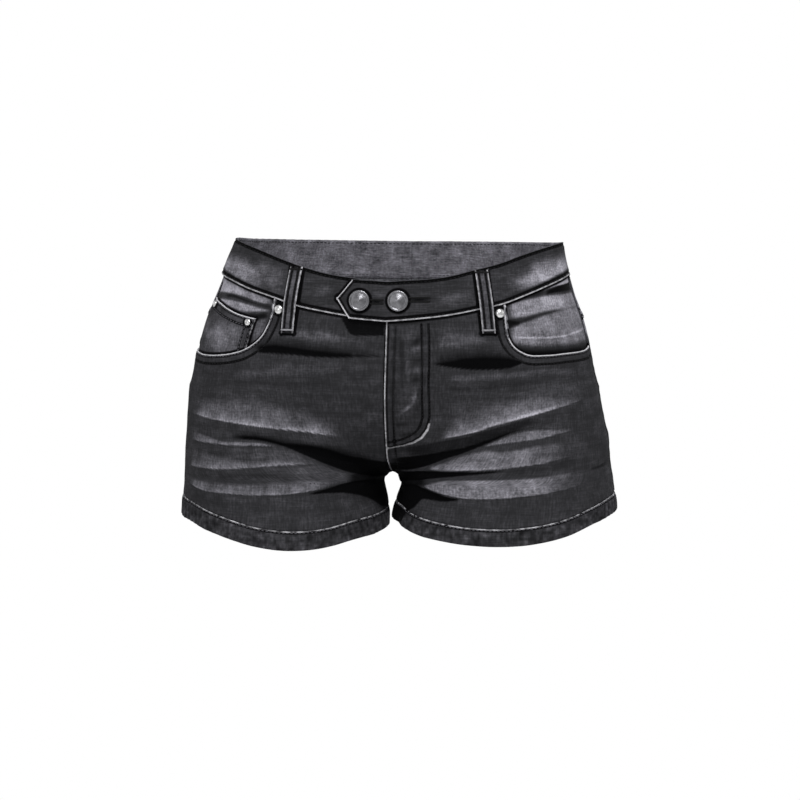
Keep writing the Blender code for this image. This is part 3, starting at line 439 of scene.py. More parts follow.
# ---- smooth lines through tables ----
def smooth(xs, ys, x):
    """Values at x of a soft curve through the points (xs, ys), held level past its ends."""
    xs = np.asarray(xs, float)
    ys = np.asarray(ys, float)
    if xs[0] > xs[-1]:
        xs = xs[::-1]
        ys = ys[::-1]
    step = np.diff(xs)
    rise = np.diff(ys) / step
    slope = np.empty_like(ys)
    slope[1:-1] = (rise[1:] * step[:-1] + rise[:-1] * step[1:]) / (step[1:] + step[:-1])
    slope[0] = rise[0]
    slope[-1] = rise[-1]
    x = np.clip(x, xs[0], xs[-1])
    k = np.clip(np.searchsorted(xs, x) - 1, 0, len(step) - 1)
    t = (x - xs[k]) / step[k]
    start = (1 + 2 * t) * (1 - t) ** 2 * ys[k] + t * (1 - t) ** 2 * step[k] * slope[k]
    end = t * t * (3 - 2 * t) * ys[k + 1] + t * t * (t - 1) * step[k] * slope[k + 1]
    return start + end


def read(table, name, at):
    """One named column of a table, read at values of its first column."""
    return smooth([row[0] for row in table], [getattr(row, name) for row in table], at)


def ease(t):
    t = np.clip(t, 0, 1)
    return t * t * (3 - 2 * t)


# numbers with no simple ratio between them, so that the speckle never repeats
SPECKLE_WAY, SPECKLE_GAIN = (12.9898, 78.233, 37.719), 43758.5453


def speckle(points, size):
    """Soft random heights from -1 to 1 that change over about size mm."""
    scaled = points / size
    cell = np.floor(scaled)
    share = scaled - cell
    share = share * share * (3 - 2 * share)
    total = np.zeros(len(points))
    for corner in product((0, 1), repeat=3):
        wave = np.sin((cell + corner) @ np.array(SPECKLE_WAY)) * SPECKLE_GAIN
        weight = np.prod(np.where(np.array(corner) > 0, share, 1 - share), axis=-1)
        total += (wave - np.floor(wave)) * weight
    return 2 * total - 1


# ---- the form ----
def soft_min(a, b, reach):
    near = np.clip(reach - np.abs(a - b), 0, None)
    return np.minimum(a, b) - near * near / (4 * reach)


def oval(x, y, half_width, front, back, square):
    """About how far a point lies outside a rounded oval with its own front and back depth."""
    depth = np.where(y < 0, front, back)
    x = np.abs(x) + TINY
    size = ((x / half_width) ** square + np.abs(y / depth) ** square) ** (1 / square)
    return np.hypot(x, y) * (1 - 1 / size)


def half_name(side):
    return "left" if side > 0 else "right"


def section(name, z):
    return read(SECTIONS, name, z)


def leg_centre(side, z):
    return (section(half_name(side), z) + read(LEGS, "gap", z)) / 2


def form(side, x, y, z):
    """Negative inside one half of the form; x runs outward from the centre seam."""
    half = section(half_name(side), z)
    trunk = oval(x, y, half, section("front", z), section("back", z), TRUNK_SQUARE)
    bow = np.where(y < 0, CROTCH_BOW_FRONT, CROTCH_BOW_BACK)
    rise = CROTCH_Z + y * y / (2 * bow) - z
    trunk = -soft_min(-trunk, -rise, RISE_BLEND)
    gap = read(LEGS, "gap", z)
    front = read(LEGS, "front", z)
    back = read(LEGS, "back", z)
    leg = oval(x - (half + gap) / 2, y, (half - gap) / 2, front, back, LEG_SQUARE)
    leg = leg + LEG_FADE * np.clip(z - LEG_TOP, 0, None)
    blend = LEG_BLEND_INNER + (LEG_BLEND_OUTER - LEG_BLEND_INNER) * ease(x / LEG_BLEND_REACH)
    return soft_min(trunk, leg, blend)


def edge_of(inside, near, far):
    """Where a test turns from inside to outside between two arrays of distances."""
    near = np.array(near, float)
    far = np.array(far, float)
    for _ in range(HALVINGS):
        middle = (near + far) / 2
        held = inside(middle)
        near = np.where(held, middle, near)
        far = np.where(held, far, middle)
    return (near + far) / 2


def face_depth(side, away, z, facing):
    """How far forward or back the form lies at a distance from its centre seam."""
    none = np.zeros_like(z)
    return edge_of(lambda d: form(side, away, facing * d, z) < 0, none, none + FORM_REACH)


def centre_angle(side, z, facing):
    """Angle from the side seam round to the centre seam, half a turn below the crotch."""
    none = np.zeros_like(z)
    angle = np.arctan2(face_depth(side, none, z, facing), -leg_centre(side, z))
    return np.where(form(side, none, none, z) < 0, angle, math.pi)


# the centre seam's angle is worked out once, at heights that lie close together near the crotch
FORM_LOW, FORM_HIGH, CROTCH_LOW, CROTCH_HIGH, COARSE, FINE = -262, 46, -193, -184, 0.8, 0.02
ANGLE_HEIGHTS = np.concatenate([np.arange(FORM_LOW, CROTCH_LOW, COARSE),
    np.arange(CROTCH_LOW, CROTCH_HIGH, FINE), np.arange(CROTCH_HIGH, FORM_HIGH, COARSE)])
ANGLES = {(side, facing): centre_angle(side, ANGLE_HEIGHTS, facing)
    for side, facing in product(SIDES.values(), (FRONT, BACK))}


def start_angle(side, z, facing):
    return np.interp(z, ANGLE_HEIGHTS, ANGLES[side, facing])


def skin(side, u, z):
    """Points of the form at u and z: x outward from the centre seam, y and z."""
    front = start_angle(side, z, FRONT)
    back = start_angle(side, z, BACK)
    angle = np.where(u < 1, front, back) * np.abs(1 - u)
    facing = np.where(u < 1, FRONT, BACK)
    centre = leg_centre(side, z)
    along = np.cos(angle)
    across = np.sin(angle) * facing
    none = np.zeros_like(z)
    reach = edge_of(lambda r: form(side, centre + r * along, r * across, z) < 0, none, none + FORM_REACH)
    return np.stack([np.maximum(centre + reach * along, 0), reach * across, z], -1)


def share_at(side, away, z, facing):
    """The u that lies straight on at a distance from the centre seam."""
    away, z = np.broadcast_arrays(np.asarray(away, float), np.asarray(z, float))
    depth = face_depth(side, away, z, facing)
    angle = np.arctan2(depth, away - leg_centre(side, z))
    return 1 + facing * angle / start_angle(side, z, facing)


def outward(side, points):
    """Unit directions that lead out of the form, flat across at the centre seam."""
    x, y, z = points[..., 0], points[..., 1], points[..., 2]
    d = LEAN_STEP
    lean = np.stack([form(side, x + d, y, z) - form(side, x - d, y, z),
        form(side, x, y + d, z) - form(side, x, y - d, z),
        form(side, x, y, z + d) - form(side, x, y, z - d)], -1)
    lean[..., 0] *= np.clip(x / STRAIGHTEN, 0, 1)
    return lean / np.linalg.norm(lean, axis=-1, keepdims=True)


def to_world(side, points):
    moved = np.array(points, float)
    moved[..., 0] = side * points[..., 0] + section("seam_x", points[..., 2])
    return moved


# ---- folds, wear, painted shade and painted highlight ----
FOLD_TAPER = 0.6


def fold(points, x0, z0, x1, z1, bow, height, above, below):
    """Height of one fold: a bowed line with its own softness on each side."""
    along_x = x1 - x0
    along_z = z1 - z0
    length = math.hypot(along_x, along_z)
    dx = points[..., 0] - x0
    dz = points[..., 2] - z0
    share = (dx * along_x + dz * along_z) / length**2
    inside = np.clip(share, 0, 1)
    turn = math.copysign(1, along_x)
    across = turn * (along_x * dz - along_z * dx) / length - 4 * bow * inside * (1 - inside)
    width = np.where(across > 0, above, below)
    past = np.abs(share - inside) * length
    taper = np.sin(math.pi * inside) ** FOLD_TAPER
    return height * taper * np.exp(-((across / width) ** 2) - (past / width) ** 2)


def stiff(points):
    """1 where a back pocket keeps the cloth flat, falling softly to 0 around it."""
    x = points[..., 0] - section("seam_x", points[..., 2])
    z = points[..., 2]
    beside = ease((np.abs(np.abs(x) - POCKET_CENTRE) - STIFF_HALF) / STIFF_SOFT)
    above = ease((z - STIFF_TOP) / STIFF_SOFT)
    below = ease((STIFF_BOTTOM - z) / STIFF_SOFT)
    return (1 - beside) * (1 - above) * (1 - below)


def at_front(points):
    """1 on the front, falling softly to 0 round the sides and inner legs."""
    return ease(0.5 - points[..., 1] / FOLD_BLEND)


LIP_REACH = 2.6


def cover(points, area):
    """How much of an area's fade, painted shade and lift reaches each point, 0 to 1, most at its lower
    line.
    """
    steps = np.linspace(0, 1, len(area.top))
    length = area.x1 - area.x0
    x = points[..., 0] - area.x0
    top = smooth(steps, area.top, x / length)
    low = smooth(np.linspace(0, 1, len(area.low)), area.low, x / length)
    first, last = np.broadcast_to(area.ends, 2)
    ends = ease(x / first) * ease((length - x) / last)
    z = points[..., 2]
    lip = area.body + (1 - area.body) * np.exp(-np.clip(z - low, 0, None) / LIP_REACH)
    return ends * lip * ease((top - z) / area.above) * ease((z - low) / area.below)


def spot_cover(points, spot):
    turn = math.radians(spot.turn)
    dx = points[..., 0] - spot.x
    dz = points[..., 2] - spot.z
    along = (dx * math.cos(turn) + dz * math.sin(turn)) / spot.half_length
    across = (dz * math.cos(turn) - dx * math.sin(turn)) / spot.half_width
    return np.exp(-(along**2) - across**2)


def wear_and_painted_light(points, areas, spots):
    """Fade with painted highlight, painted shade and lift that tables of areas and spots give at points.
    """
    fade = np.zeros(points.shape[:-1])
    light = np.ones(points.shape[:-1])
    lift = np.zeros(points.shape[:-1])
    marks = [(area, cover(points, area)) for area in areas]
    marks += [(spot, spot_cover(points, spot)) for spot in spots]
    for mark, amount in marks:
        fade = fade + mark.fade * amount
        light = light * (1 - mark.crease * amount)
        lift = lift + mark.lift * amount
    return fade, 1 - light, lift


def worn_height(points):
    """How far the worn cloth's folds move it out from the form."""
    front = at_front(points)
    fronts = sum(fold(points, *row) for row in FRONT_FOLDS) + wear_and_painted_light(points, FRONT_AREAS, ())[2]
    backs = sum(fold(points, *row) for row in BACK_FOLDS) * (1 - stiff(points))
    return front * fronts + (1 - front) * backs


def hem_wrinkles(side, u, z):
    wrinkles = HEM_WRINKLES[half_name(side)]
    total = sum(height * np.exp(-(((u - at) / width) ** 2)) for at, height, width in wrinkles)
    above_hem = z - read(HEM, half_name(side), u)
    return total * (1 - ease(above_hem / HEM_WRINKLE_REACH))


def worn(side, u, z):
    """Points on the worn cloth's inner face at u and z, and their outward directions."""
    u, z = np.broadcast_arrays(np.asarray(u, float), np.asarray(z, float))
    points = skin(side, u, z)
    lead = outward(side, points)
    world = to_world(side, points)
    lead[..., 0] *= side
    height = worn_height(world) + hem_wrinkles(side, u, z)
    return world + lead * height[..., None], lead


def across_centre(side, v, z):
    """Worn cloth by u, where a value below 0 lies past the centre front on the other half."""
    points, lead = worn(side, np.maximum(v, 0), z)
    past = v < 0
    if past.any():
        points[past], lead[past] = worn(-side, -v[past], z[past])
    return points, lead


def on_face(x, z, facing):
    """Worn cloth seen straight on at x and z from the front or the back."""
    x, z = np.broadcast_arrays(np.asarray(x, float), np.asarray(z, float))
    offset = x - section("seam_x", z)
    result = np.empty(x.shape + (3,))
    lead = np.empty(x.shape + (3,))
    for side in SIDES.values():
        mine = (offset * side) >= 0
        if not mine.any():
            continue
        away = np.abs(offset[mine])
        depth = face_depth(side, away, z[mine], facing)
        points = np.stack([away, facing * depth, z[mine]], -1)
        direction = outward(side, points)
        direction[..., 0] *= side
        result[mine] = to_world(side, points)
        lead[mine] = direction
    return result + lead * worn_height(result)[..., None], lead


# ---- seam lines ----
def waist_top(side, u):
    return read(WAIST, "top_" + half_name(side), u)


def waist_seam(side, u):
    return read(WAIST, "seam_" + half_name(side), u)


def hem_seam(side, u):
    return read(HEM, half_name(side), u) + HEM_HEIGHT[half_name(side)]


def yoke_seam(side, u):
    return read(YOKE, half_name(side), u)


def mouth_line(side, share):
    """u and z along the pocket mouth, from the waist seam to the side seam."""
    table = np.array(MOUTH[half_name(side)])
    step = np.hypot(np.diff(table[:, 0]) * U_LENGTH, np.diff(table[:, 1]))
    run = np.concatenate([[0], np.cumsum(step)]) / step.sum()
    return smooth(run, table[:, 0], share), smooth(run, table[:, 1], share)


SEAM_TOP_DROP, FAN_STEPS = 0.6, 240


def fan_share(side, share, end_u, top, bottom):
    """Row heights along a centre seam and inseam, spaced by length, as shares of the height."""
    turn = np.linspace(0, 1, FAN_STEPS) ** 2
    crotch = CROTCH_Z - SEAM_TOP_DROP
    above = crotch + (top - crotch) * turn[::-1]
    below = crotch + (bottom - crotch) * turn[1:]
    heights = np.concatenate([above, below])
    line = skin(side, np.full_like(heights, end_u), heights)
    step = np.linalg.norm(np.diff(line, axis=0), axis=1)
    run = np.concatenate([[0], np.cumsum(step)]) / step.sum()
    return (np.interp(share, run, heights) - top) / (bottom - top)


# ---- lines of sewing ----
# "edge" is a turned edge that wears pale, "frayed" one worn in patches, "fold" one with no step,
# "seam" a sunk join, "row" a row of stitches with painted shade in its groove, and "shade" a
# painted shadow on the cloth beside a piece that lies over it.
# rub is how pale an edge has worn, thread the colour of a row's stitches.
Line = namedtuple("Line", "points lead kind rub thread")
RUB = {"mouth": 1, "rise": 0.75, "fly": 0.72, "yoke": 0.45, "band": 0.75, "tab": 0.95, "hem": 0.58,
    "coin top": 1.1, "coin side": 0.3, "patch": 0.4, "patch top": 0.6, "loop": 0.62}
# a place well inside each piece, on the wearer's left: it says on which side of an edge a row runs
INSIDE = {"front": (80, -95, -140), "mouth": (130, -70, -130), "fly": (10, -90, -90),
    "back": (90, 110, -150), "yoke": (90, 110, -40), "patch": (92, 120, -140)}
FAR = 30
LINE_STEP, LINE_POINTS, SHORT_POINTS = 1.5, 160, 60
EDGE_ROLL, EDGE_SOFT = 0.5, 0.9
SEAM_SINK, SEAM_SOFT, SEAM_BULGE, SEAM_BULGE_AT, SEAM_BULGE_SOFT = 0.8, 1.3, 0.35, 5.5, 3
CHANNEL, CHANNEL_SOFT = 0.45, 1
SHADE_WIDTH = 1.1
FRAYED, FRAYED_SIZE = 0.9, 3
PUCKER, PUCKER_SOFT, PUCKER_LENGTH, PUCKER_DRIFT = 0.16, 4.5, 9, 29
ROW_NEAR, ROW_FAR, END_TRIM = 1.9, 8, 1.5


def even(points, lead, step):
    """A line's points and directions at even steps along it."""
    gaps = np.linalg.norm(np.diff(points, axis=0), axis=1)
    run = np.concatenate([[0], np.cumsum(gaps)])
    at = np.linspace(0, run[-1], max(3, int(round(run[-1] / step)) + 1))
    return [np.stack([np.interp(at, run, v[:, k]) for k in range(3)], -1) for v in (points, lead)]


def sewn(laid, kind, rub=0, thread=None):
    """A line of sewing through cloth points, given with their outward directions."""
    return Line(*even(*laid, LINE_STEP), kind, rub, thread)


def beside(edge, distance, towards, thread, trim=0):
    """A row of stitches at a distance from an edge, on the side where the point towards lies."""
    ahead = np.gradient(edge.points, axis=0)
    across = np.cross(edge.lead, ahead)
    across /= np.linalg.norm(across, axis=1, keepdims=True)
    side = np.sign(((np.array(towards) - edge.points) * across).sum())
    skip = int(round(trim / LINE_STEP))
    kept = slice(skip, len(edge.points) - skip)
    moved = edge.points + side * distance * across
    return sewn((moved[kept], edge.lead[kept]), "row", thread=thread)


def inside(piece, side=1):
    """A place well inside a piece on that side."""
    x, y, z = INSIDE[piece]
    return side * x, y, z


def nearest(points, path):
    """Distance from each point to a path, and how far along the path that is."""
    ahead = np.gradient(path, axis=0)
    length = np.linalg.norm(ahead, axis=1)
    ahead = ahead / length[:, None]
    square = (points**2).sum(-1)[:, None] + (path**2).sum(-1) - 2 * points @ path.T
    k = square.argmin(1)
    offset = points - path[k]
    along = (offset * ahead[k]).sum(-1)
    along = np.clip(along, -length[k] / 2, length[k] / 2)
    distance = np.linalg.norm(offset - along[:, None] * ahead[k], axis=-1)
    return distance, k * LINE_STEP + along


def sewing_relief(points, lines):
    """What sewing does to the cloth: height, distance to an edge, its rub, and the distance to the nearest
    row of stitches and painted shadow, where the material paints shade.
    """
    height = np.zeros(len(points))
    edge = np.full(len(points), FAR)
    rub = np.zeros(len(points))
    row = np.full(len(points), FAR)
    for path in lines:
        distance, run = nearest(points, path.points)
        if path.kind in ("edge", "frayed", "fold"):
            patches = FRAYED * speckle(points, FRAYED_SIZE) if path.kind == "frayed" else 0
            rub = np.where(distance < edge, path.rub * (1 + patches), rub)
            edge = np.minimum(edge, distance)
        if path.kind in ("edge", "frayed"):
            height -= EDGE_ROLL * np.exp(-((distance / EDGE_SOFT) ** 2))
        elif path.kind == "seam":
            height -= SEAM_SINK * np.exp(-((distance / SEAM_SOFT) ** 2))
            bulge = (distance - SEAM_BULGE_AT) / SEAM_BULGE_SOFT
            height += SEAM_BULGE * np.exp(-(bulge**2))
            row = np.minimum(row, distance)
        # the material paints shade into the groove beside a row
        elif path.kind == "row":
            drift = 2 * np.sin(run / PUCKER_DRIFT + path.points[0, 0])
            wave = np.sin(math.tau * run / PUCKER_LENGTH + drift)
            height += PUCKER * wave * np.exp(-((distance / PUCKER_SOFT) ** 2))
            height -= CHANNEL * np.exp(-((distance / CHANNEL_SOFT) ** 2))
            row = np.minimum(row, distance)
        # a painted shadow beside the edge of a piece that lies over the cloth
        elif path.kind == "shade":
            row = np.minimum(row, np.clip(distance - SHADE_WIDTH, 0, None))
    return height, edge, rub, row


# ---- sheets of cloth ----
# lead is the outward direction, out how far the face lies along it, weave a place on the uncut
# cloth, and face 1 where the sheet shows its outer side outwards, 0 where it is folded inwards.
Laid = namedtuple("Laid", "points lead out weave face")
RUMPLE = ((17, 0.35), (6, 0.12))
INNER_FADE = 0.42
SURFACES = {}


def write(data, name, values):
    """Keeps one number for each point of a sheet, for its material to read."""
    attribute = data.attributes.new(name, "FLOAT", "POINT")
    attribute.data.foreach_set("value", values.astype(np.float32))


def add_piece(name, data):
    """A finished mesh as a piece that rides on the body."""
    thing = bpy.data.objects.new(name, data)
    bpy.context.scene.collection.objects.link(thing)
    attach(thing, "root")
    return thing


def mesh_data(name, mesh):
    data = bpy.data.meshes.new(name)
    mesh.to_mesh(data)
    mesh.free()
    return data


def make_cloth(name, grid, place, lines, tone, thick):
    """One thin sheet of denim. place lays it out, tone gives its fade, painted shade and lift, lines are
    its sewing.
    """
    mesh = bmesh.new()
    bmesh.ops.create_grid(mesh, x_segments=grid[0], y_segments=grid[1], size=0.5)
    data = mesh_data(name, mesh)
    corners = np.empty(3 * len(data.vertices))
    data.vertices.foreach_get("co", corners)
    shares = corners.reshape(-1, 3)
    laid = place(shares[:, 0] + 0.5, 0.5 - shares[:, 1])
    fade, crease, lift = tone(laid.points)
    relief, edge, rub, row = sewing_relief(laid.points, lines)
    rumple = sum(height * speckle(laid.points, size) for size, height in RUMPLE)
    height = laid.out + laid.face * (lift + relief + rumple)
    points = laid.points + laid.lead * height[:, None]
    data.vertices.foreach_set("co", (points * MM).ravel())
    data.update()
    write(data, "fade", np.clip(fade, 0, 1) * laid.face + INNER_FADE * (1 - laid.face))
    write(data, "crease", np.clip(crease, 0, 1) * laid.face)
    write(data, "edge", edge + FAR * (1 - laid.face))
    write(data, "rub", rub)
    write(data, "row", row + FAR * (1 - laid.face))
    corner_of = np.empty(len(data.loops), dtype=np.int32)
    data.loops.foreach_get("vertex_index", corner_of)
    uv = data.uv_layers.new(name="weave")
    uv.data.foreach_set("uv", (laid.weave[corner_of] * MM).astype(np.float32).ravel())
    turn_faces_out(data, laid)
    data.shade_smooth()
    polygons = [face.vertices[:] for face in data.polygons]
    SURFACES[name] = BVHTree.FromPolygons((points * MM).tolist(), polygons)
    data.materials.append(material_of("black denim, washed and sanded", denim_outside))
    data.materials.append(material_of("black denim, inner weft face", denim_inside))
    thing = add_piece(name, data)
    wall = thing.modifiers.new("thickness", "SOLIDIFY")
    wall.thickness = thick * MM
    wall.offset = -1
    wall.material_offset = 1
    return thing


def turn_faces_out(data, laid):
    """Turns the faces so that their normals point away from the wearer."""
    normals = np.empty(3 * len(data.polygons))
    data.polygons.foreach_get("normal", normals)
    first = np.array([face.vertices[0] for face in data.polygons])
    along = (normals.reshape(-1, 3) * laid.lead[first]).sum(-1) * (laid.face[first] > 0.5)
    if along.sum() < 0:
        data.flip_normals()


# ---- thread ----
STITCH_SIDES, STITCH_RINGS = 5, 4
STITCH_HEIGHT, STITCH_ARCH, STITCH_DIP = 0.62, 0.35, 0.4
STITCH_TURN, STITCH_VARY, STITCH_DRIFT = 0.07, 0.1, 0.12
# steps of angle from stitch to stitch that no turn holds whole, so that neighbours never match
TURN_BEAT, DRIFT_BEAT, VARY_BEAT, DRIFT_START, VARY_START = 7.3, 4.9, 3.1, 0.7, 1.7
SEAT_REACH = 12


def shape_of(mesh):
    """The points and faces of a small shape, for copies."""
    points = np.array([vert.co[:] for vert in mesh.verts])
    faces = [[vert.index for vert in face.verts] for face in mesh.faces]
    mesh.free()
    return points, faces


def stitch_shape():
    """One stitch of unit length along X: points, faces and each point's rise off the cloth."""
    mesh = bmesh.new()
    bmesh.ops.create_uvsphere(mesh, u_segments=STITCH_SIDES, v_segments=STITCH_RINGS, radius=0.5)
    bmesh.ops.rotate(mesh, verts=mesh.verts[:], matrix=Matrix.Rotation(math.pi / 2, 3, "Y"))
    points, faces = shape_of(mesh)
    arch = STITCH_ARCH * (1 - 4 * points[:, 0] ** 2) - STITCH_DIP * (2 * points[:, 0]) ** 4
    return points, faces, points[:, 2] * STITCH_HEIGHT + arch


def seat_on(surface, point, lead):
    """The place and outward direction of the cloth surface over or under a point."""
    start = Vector((point + SEAT_REACH * lead) * MM)
    place, up, _, _ = surface.ray_cast(start, Vector(-lead), 2 * SEAT_REACH * MM)
    if place is None:
        place, up, _, _ = surface.find_nearest(Vector(point * MM))
    up = np.array(up)
    return np.array(place) / MM, up * math.copysign(1, up @ lead)


def join_copies(name, copies, faces, material):
    """One piece from many copies of a small shape, given the points of each copy in mm."""
    starts = range(0, copies.shape[0] * copies.shape[1], copies.shape[1])
    joined = [[start + k for k in face] for start in starts for face in faces]
    data = bpy.data.meshes.new(name)
    data.from_pydata((copies.reshape(-1, 3) * MM).tolist(), [], joined)
    data.update()
    data.shade_smooth()
    data.materials.append(material)
    return add_piece(name, data)


def stitch_finish(thread):
    return material_of("core-spun thread, " + thread, spun_thread, thread)


def lay_stitches(name, surface, lines, material, length, gap, width):
    """Joined stitches along rows of places, each seated on the surface at that place."""
    shape, faces, high = stitch_shape()
    blocks = []
    for row in lines:
        points, lead = even(row.points, row.lead, length + gap)
        count = np.arange(len(points) - 1)
        middle = (points[1:] + points[:-1]) / 2
        seats = [seat_on(surface, point, way) for point, way in zip(middle, lead)]
        ground = np.array([seat[0] for seat in seats])
        up = np.array([seat[1] for seat in seats])
        ahead = np.diff(points, axis=0)
        ahead -= up * (ahead * up).sum(-1, keepdims=True)
        ahead /= np.linalg.norm(ahead, axis=1, keepdims=True)
        side = np.cross(up, ahead)
        ahead = ahead + side * (STITCH_TURN * np.sin(TURN_BEAT * count + len(count)))[:, None]
        ground = ground + side * (STITCH_DRIFT * np.sin(DRIFT_BEAT * count + DRIFT_START))[:, None]
        size = length * (1 + STITCH_VARY * np.sin(VARY_BEAT * count + VARY_START * len(count)))
        along = shape[None, :, 0, None] * ahead[:, None] * size[:, None, None]
        across = shape[None, :, 1, None] * side[:, None] * width
        rise = high[None, :, None] * up[:, None] * width
        blocks.append(ground[:, None] + along + across + rise)
    return join_copies(name, np.concatenate(blocks), faces, material)


def topstitch(cloth_name, lines):
    """The stitches of every row of one sheet, a piece for each colour of thread."""
    sizes = bpy.context.scene.shorts_sizes
    sizes = [size / MM for size in (sizes.stitch_length, sizes.stitch_gap, sizes.thread_width)]
    made = []
    for thread in ("pale", "grey", "dark"):
        matching = [path for path in lines if path.thread == thread]
        if matching:
            name = f"thread_{thread}_{cloth_name}"
            finish = stitch_finish(thread)
            made.append(lay_stitches(name, SURFACES[cloth_name], matching, finish, *sizes))
    return made


BAR_LENGTH, BAR_PITCH, BAR_GAP, BAR_POINTS = 2, 0.75, -0.25, 30


def bar_tack(name, cloth_name, laid, thread):
    """Dense upright stitches side by side along a line: a bar tack or a buttonhole's edge."""
    shape, faces, high = stitch_shape()
    width = BAR_PITCH - BAR_GAP
    blocks = []
    for point, way in zip(*even(*laid, BAR_PITCH)):
        half = np.array((0, 0, 1)) * BAR_LENGTH / 2
        half = half - way * (half @ way)
        ends = np.stack([point - half, point + half])
        ahead = ends[1] - ends[0]
        ground, up = seat_on(SURFACES[cloth_name], ends.mean(0), way)
        side = np.cross(up, ahead / np.linalg.norm(ahead))
        place = ground + shape[:, :1] * ahead + shape[:, 1:2] * side * width
        blocks.append(place + high[:, None] * up * width)
    return join_copies(name, np.array(blocks), faces, stitch_finish(thread))


# ---- fade, painted shade and lift of whole pieces ----
def back_wear_and_shade(points):
    """Fade and darkening on the back: ridges and pocket centres wear pale, and the troughs stay dark with
    dye the wash left there and are darkened further with painted shade.
    """
    fade, crease, _ = wear_and_painted_light(points, (), BACK_SPOTS)
    loose = 1 - stiff(points)
    for row in BACK_FOLDS:
        shape = fold(points, *row) * loose
        fade = fade + BACK_FOLD_FADE * np.clip(shape, 0, None)
        crease = 1 - (1 - crease) * np.exp(-BACK_FOLD_CREASE * np.clip(-shape, 0, None))
    return fade, crease


def tone_of(areas, spots=()):
    """The fade, painted shade and lift of one piece, from tables for its front, and the shared back beyond
    the sides.
    """

    def tone(points):
        front = at_front(points)
        fade, crease, _ = wear_and_painted_light(points, areas, ())
        spot_fade, spot_crease, lift = wear_and_painted_light(points, (), spots)
        back_fade, back_crease = back_wear_and_shade(points)
        crease = 1 - (1 - crease) * (1 - spot_crease)
        fade = front * (fade + spot_fade) + (1 - front) * back_fade
        return fade, front * crease + (1 - front) * back_crease, front * lift

    return tone


# ---- front and back panels ----
FRONT_GRID, FRONT_CORNER = (200, 170), 70
BACK_GRID, YOKE_GRID = (140, 105), (130, 34)
DENSER = 0.3
TUCK, TUCK_DROP, TUCK_SOFT = 1, 1, 1
FELL_RISE, FELL_WIDTH = 1.15, 10
FLY_OVER, FLY_UNDER, FLY_SOFT = 0.8, -0.6, 8
FLY_WORN_BELOW, FLY_WORN_OFF, FLY_TRIM = -134, (1, 0, -1.3), 4


def denser(share):
    """Shares from 0 to 1 that lie closer together at both ends."""
    return share - DENSER * np.sin(math.tau * share) / math.tau


def panel_out(side, u, z):
    """How far out a panel lies: it dips where its lower end goes under the hem."""
    return PANEL_OUT - TUCK_DROP * ease((hem_seam(side, u) - z + TUCK_SOFT) / TUCK_SOFT)


def panel_weave(side, u, z):
    return np.stack([side * u * U_LENGTH, z], -1)


def laid_at(side, u, z, out, face=None):
    """A place on a body panel's cloth: on the worn form at u and z, out mm further out."""
    points, lead = worn(side, u, z)
    face = np.ones_like(u) if face is None else face
    return Laid(points, lead, out, panel_weave(side, u, z), face)


def front_top(side, across):
    """The front panel's upper edge: under the waistband, then along the pocket mouth."""
    corner = FRONT_CORNER / FRONT_GRID[0]
    start_u = MOUTH[half_name(side)][0].u
    seam_u = start_u * np.clip(across / corner, 0, 1)
    mouth_u, mouth_z = mouth_line(side, np.clip((across - corner) / (1 - corner), 0, 1))
    on_seam = across <= corner + TINY
    u = np.where(on_seam, seam_u, np.minimum(mouth_u, 1))
    seam_z = waist_seam(side, seam_u) + TUCK
    z = np.where(on_seam, seam_z, np.minimum(mouth_z, waist_seam(side, mouth_u)) - SEAM_GAP / 2)
    return u, z


def front_place(side, across, down):
    inner_top = waist_seam(side, 0) + TUCK
    inner_bottom = hem_seam(side, 0) - TUCK
    over = FLY_OVER if side > 0 else FLY_UNDER
    down = denser(down)
    top_u, top_z = front_top(side, across)
    bottom_u = across
    bottom_z = hem_seam(side, bottom_u) - TUCK
    fan = fan_share(side, down, 0, inner_top, inner_bottom)
    drop = fan + (down - fan) * ease(across / 0.5)
    u = top_u + (bottom_u - top_u) * down
    z = top_z + (bottom_z - top_z) * drop
    laid = laid_at(side, u, z, panel_out(side, u, z))
    away = np.abs(laid.points[:, 0] - section("seam_x", z))
    rise = over * np.exp(-((away / FLY_SOFT) ** 2)) * ease((z - CROTCH_Z) / FLY_SOFT)
    return laid._replace(out=laid.out + rise)


def back_place(side, across, down):
    inner_top = yoke_seam(side, 2) + TUCK
    inner_bottom = hem_seam(side, 2) - TUCK
    down = denser(down)
    u = 1 + across
    top_z = yoke_seam(side, u) + TUCK
    bottom_z = hem_seam(side, u) - TUCK
    fan = fan_share(side, down, 2, inner_top, inner_bottom)
    drop = down + (fan - down) * ease((across - 0.5) / 0.5)
    z = top_z + (bottom_z - top_z) * drop
    return laid_at(side, u, z, panel_out(side, u, z))


def yoke_place(side, across, down):
    u = 1 + across
    top_z = waist_seam(side, u) + TUCK
    bottom_z = yoke_seam(side, u) + SEAM_GAP / 2
    z = top_z + (bottom_z - top_z) * denser(down)
    out = PANEL_OUT + FELL_RISE * ease(1 - (z - bottom_z) / FELL_WIDTH)
    return laid_at(side, u, z, out)


def along_u(side, first, last, height, kind, rub=0, thread=None):
    """A line of sewing at a height that depends on u."""
    u = np.linspace(first, last, LINE_POINTS)
    return sewn(worn(side, u, height(side, u)), kind, rub, thread)


def down_u(side, u, top, bottom, kind, rub=0):
    """A line of sewing straight down at one u."""
    z = np.linspace(top, bottom, LINE_POINTS)
    return sewn(worn(side, np.full_like(z, u), z), kind, rub)


def two_rows(edge, towards, thread, near_trim=0, far_trim=0):
    """The usual pair of rows beside an edge."""
    near = beside(edge, ROW_NEAR, towards, thread, near_trim)
    return [near, beside(edge, ROW_FAR, towards, thread, far_trim)]


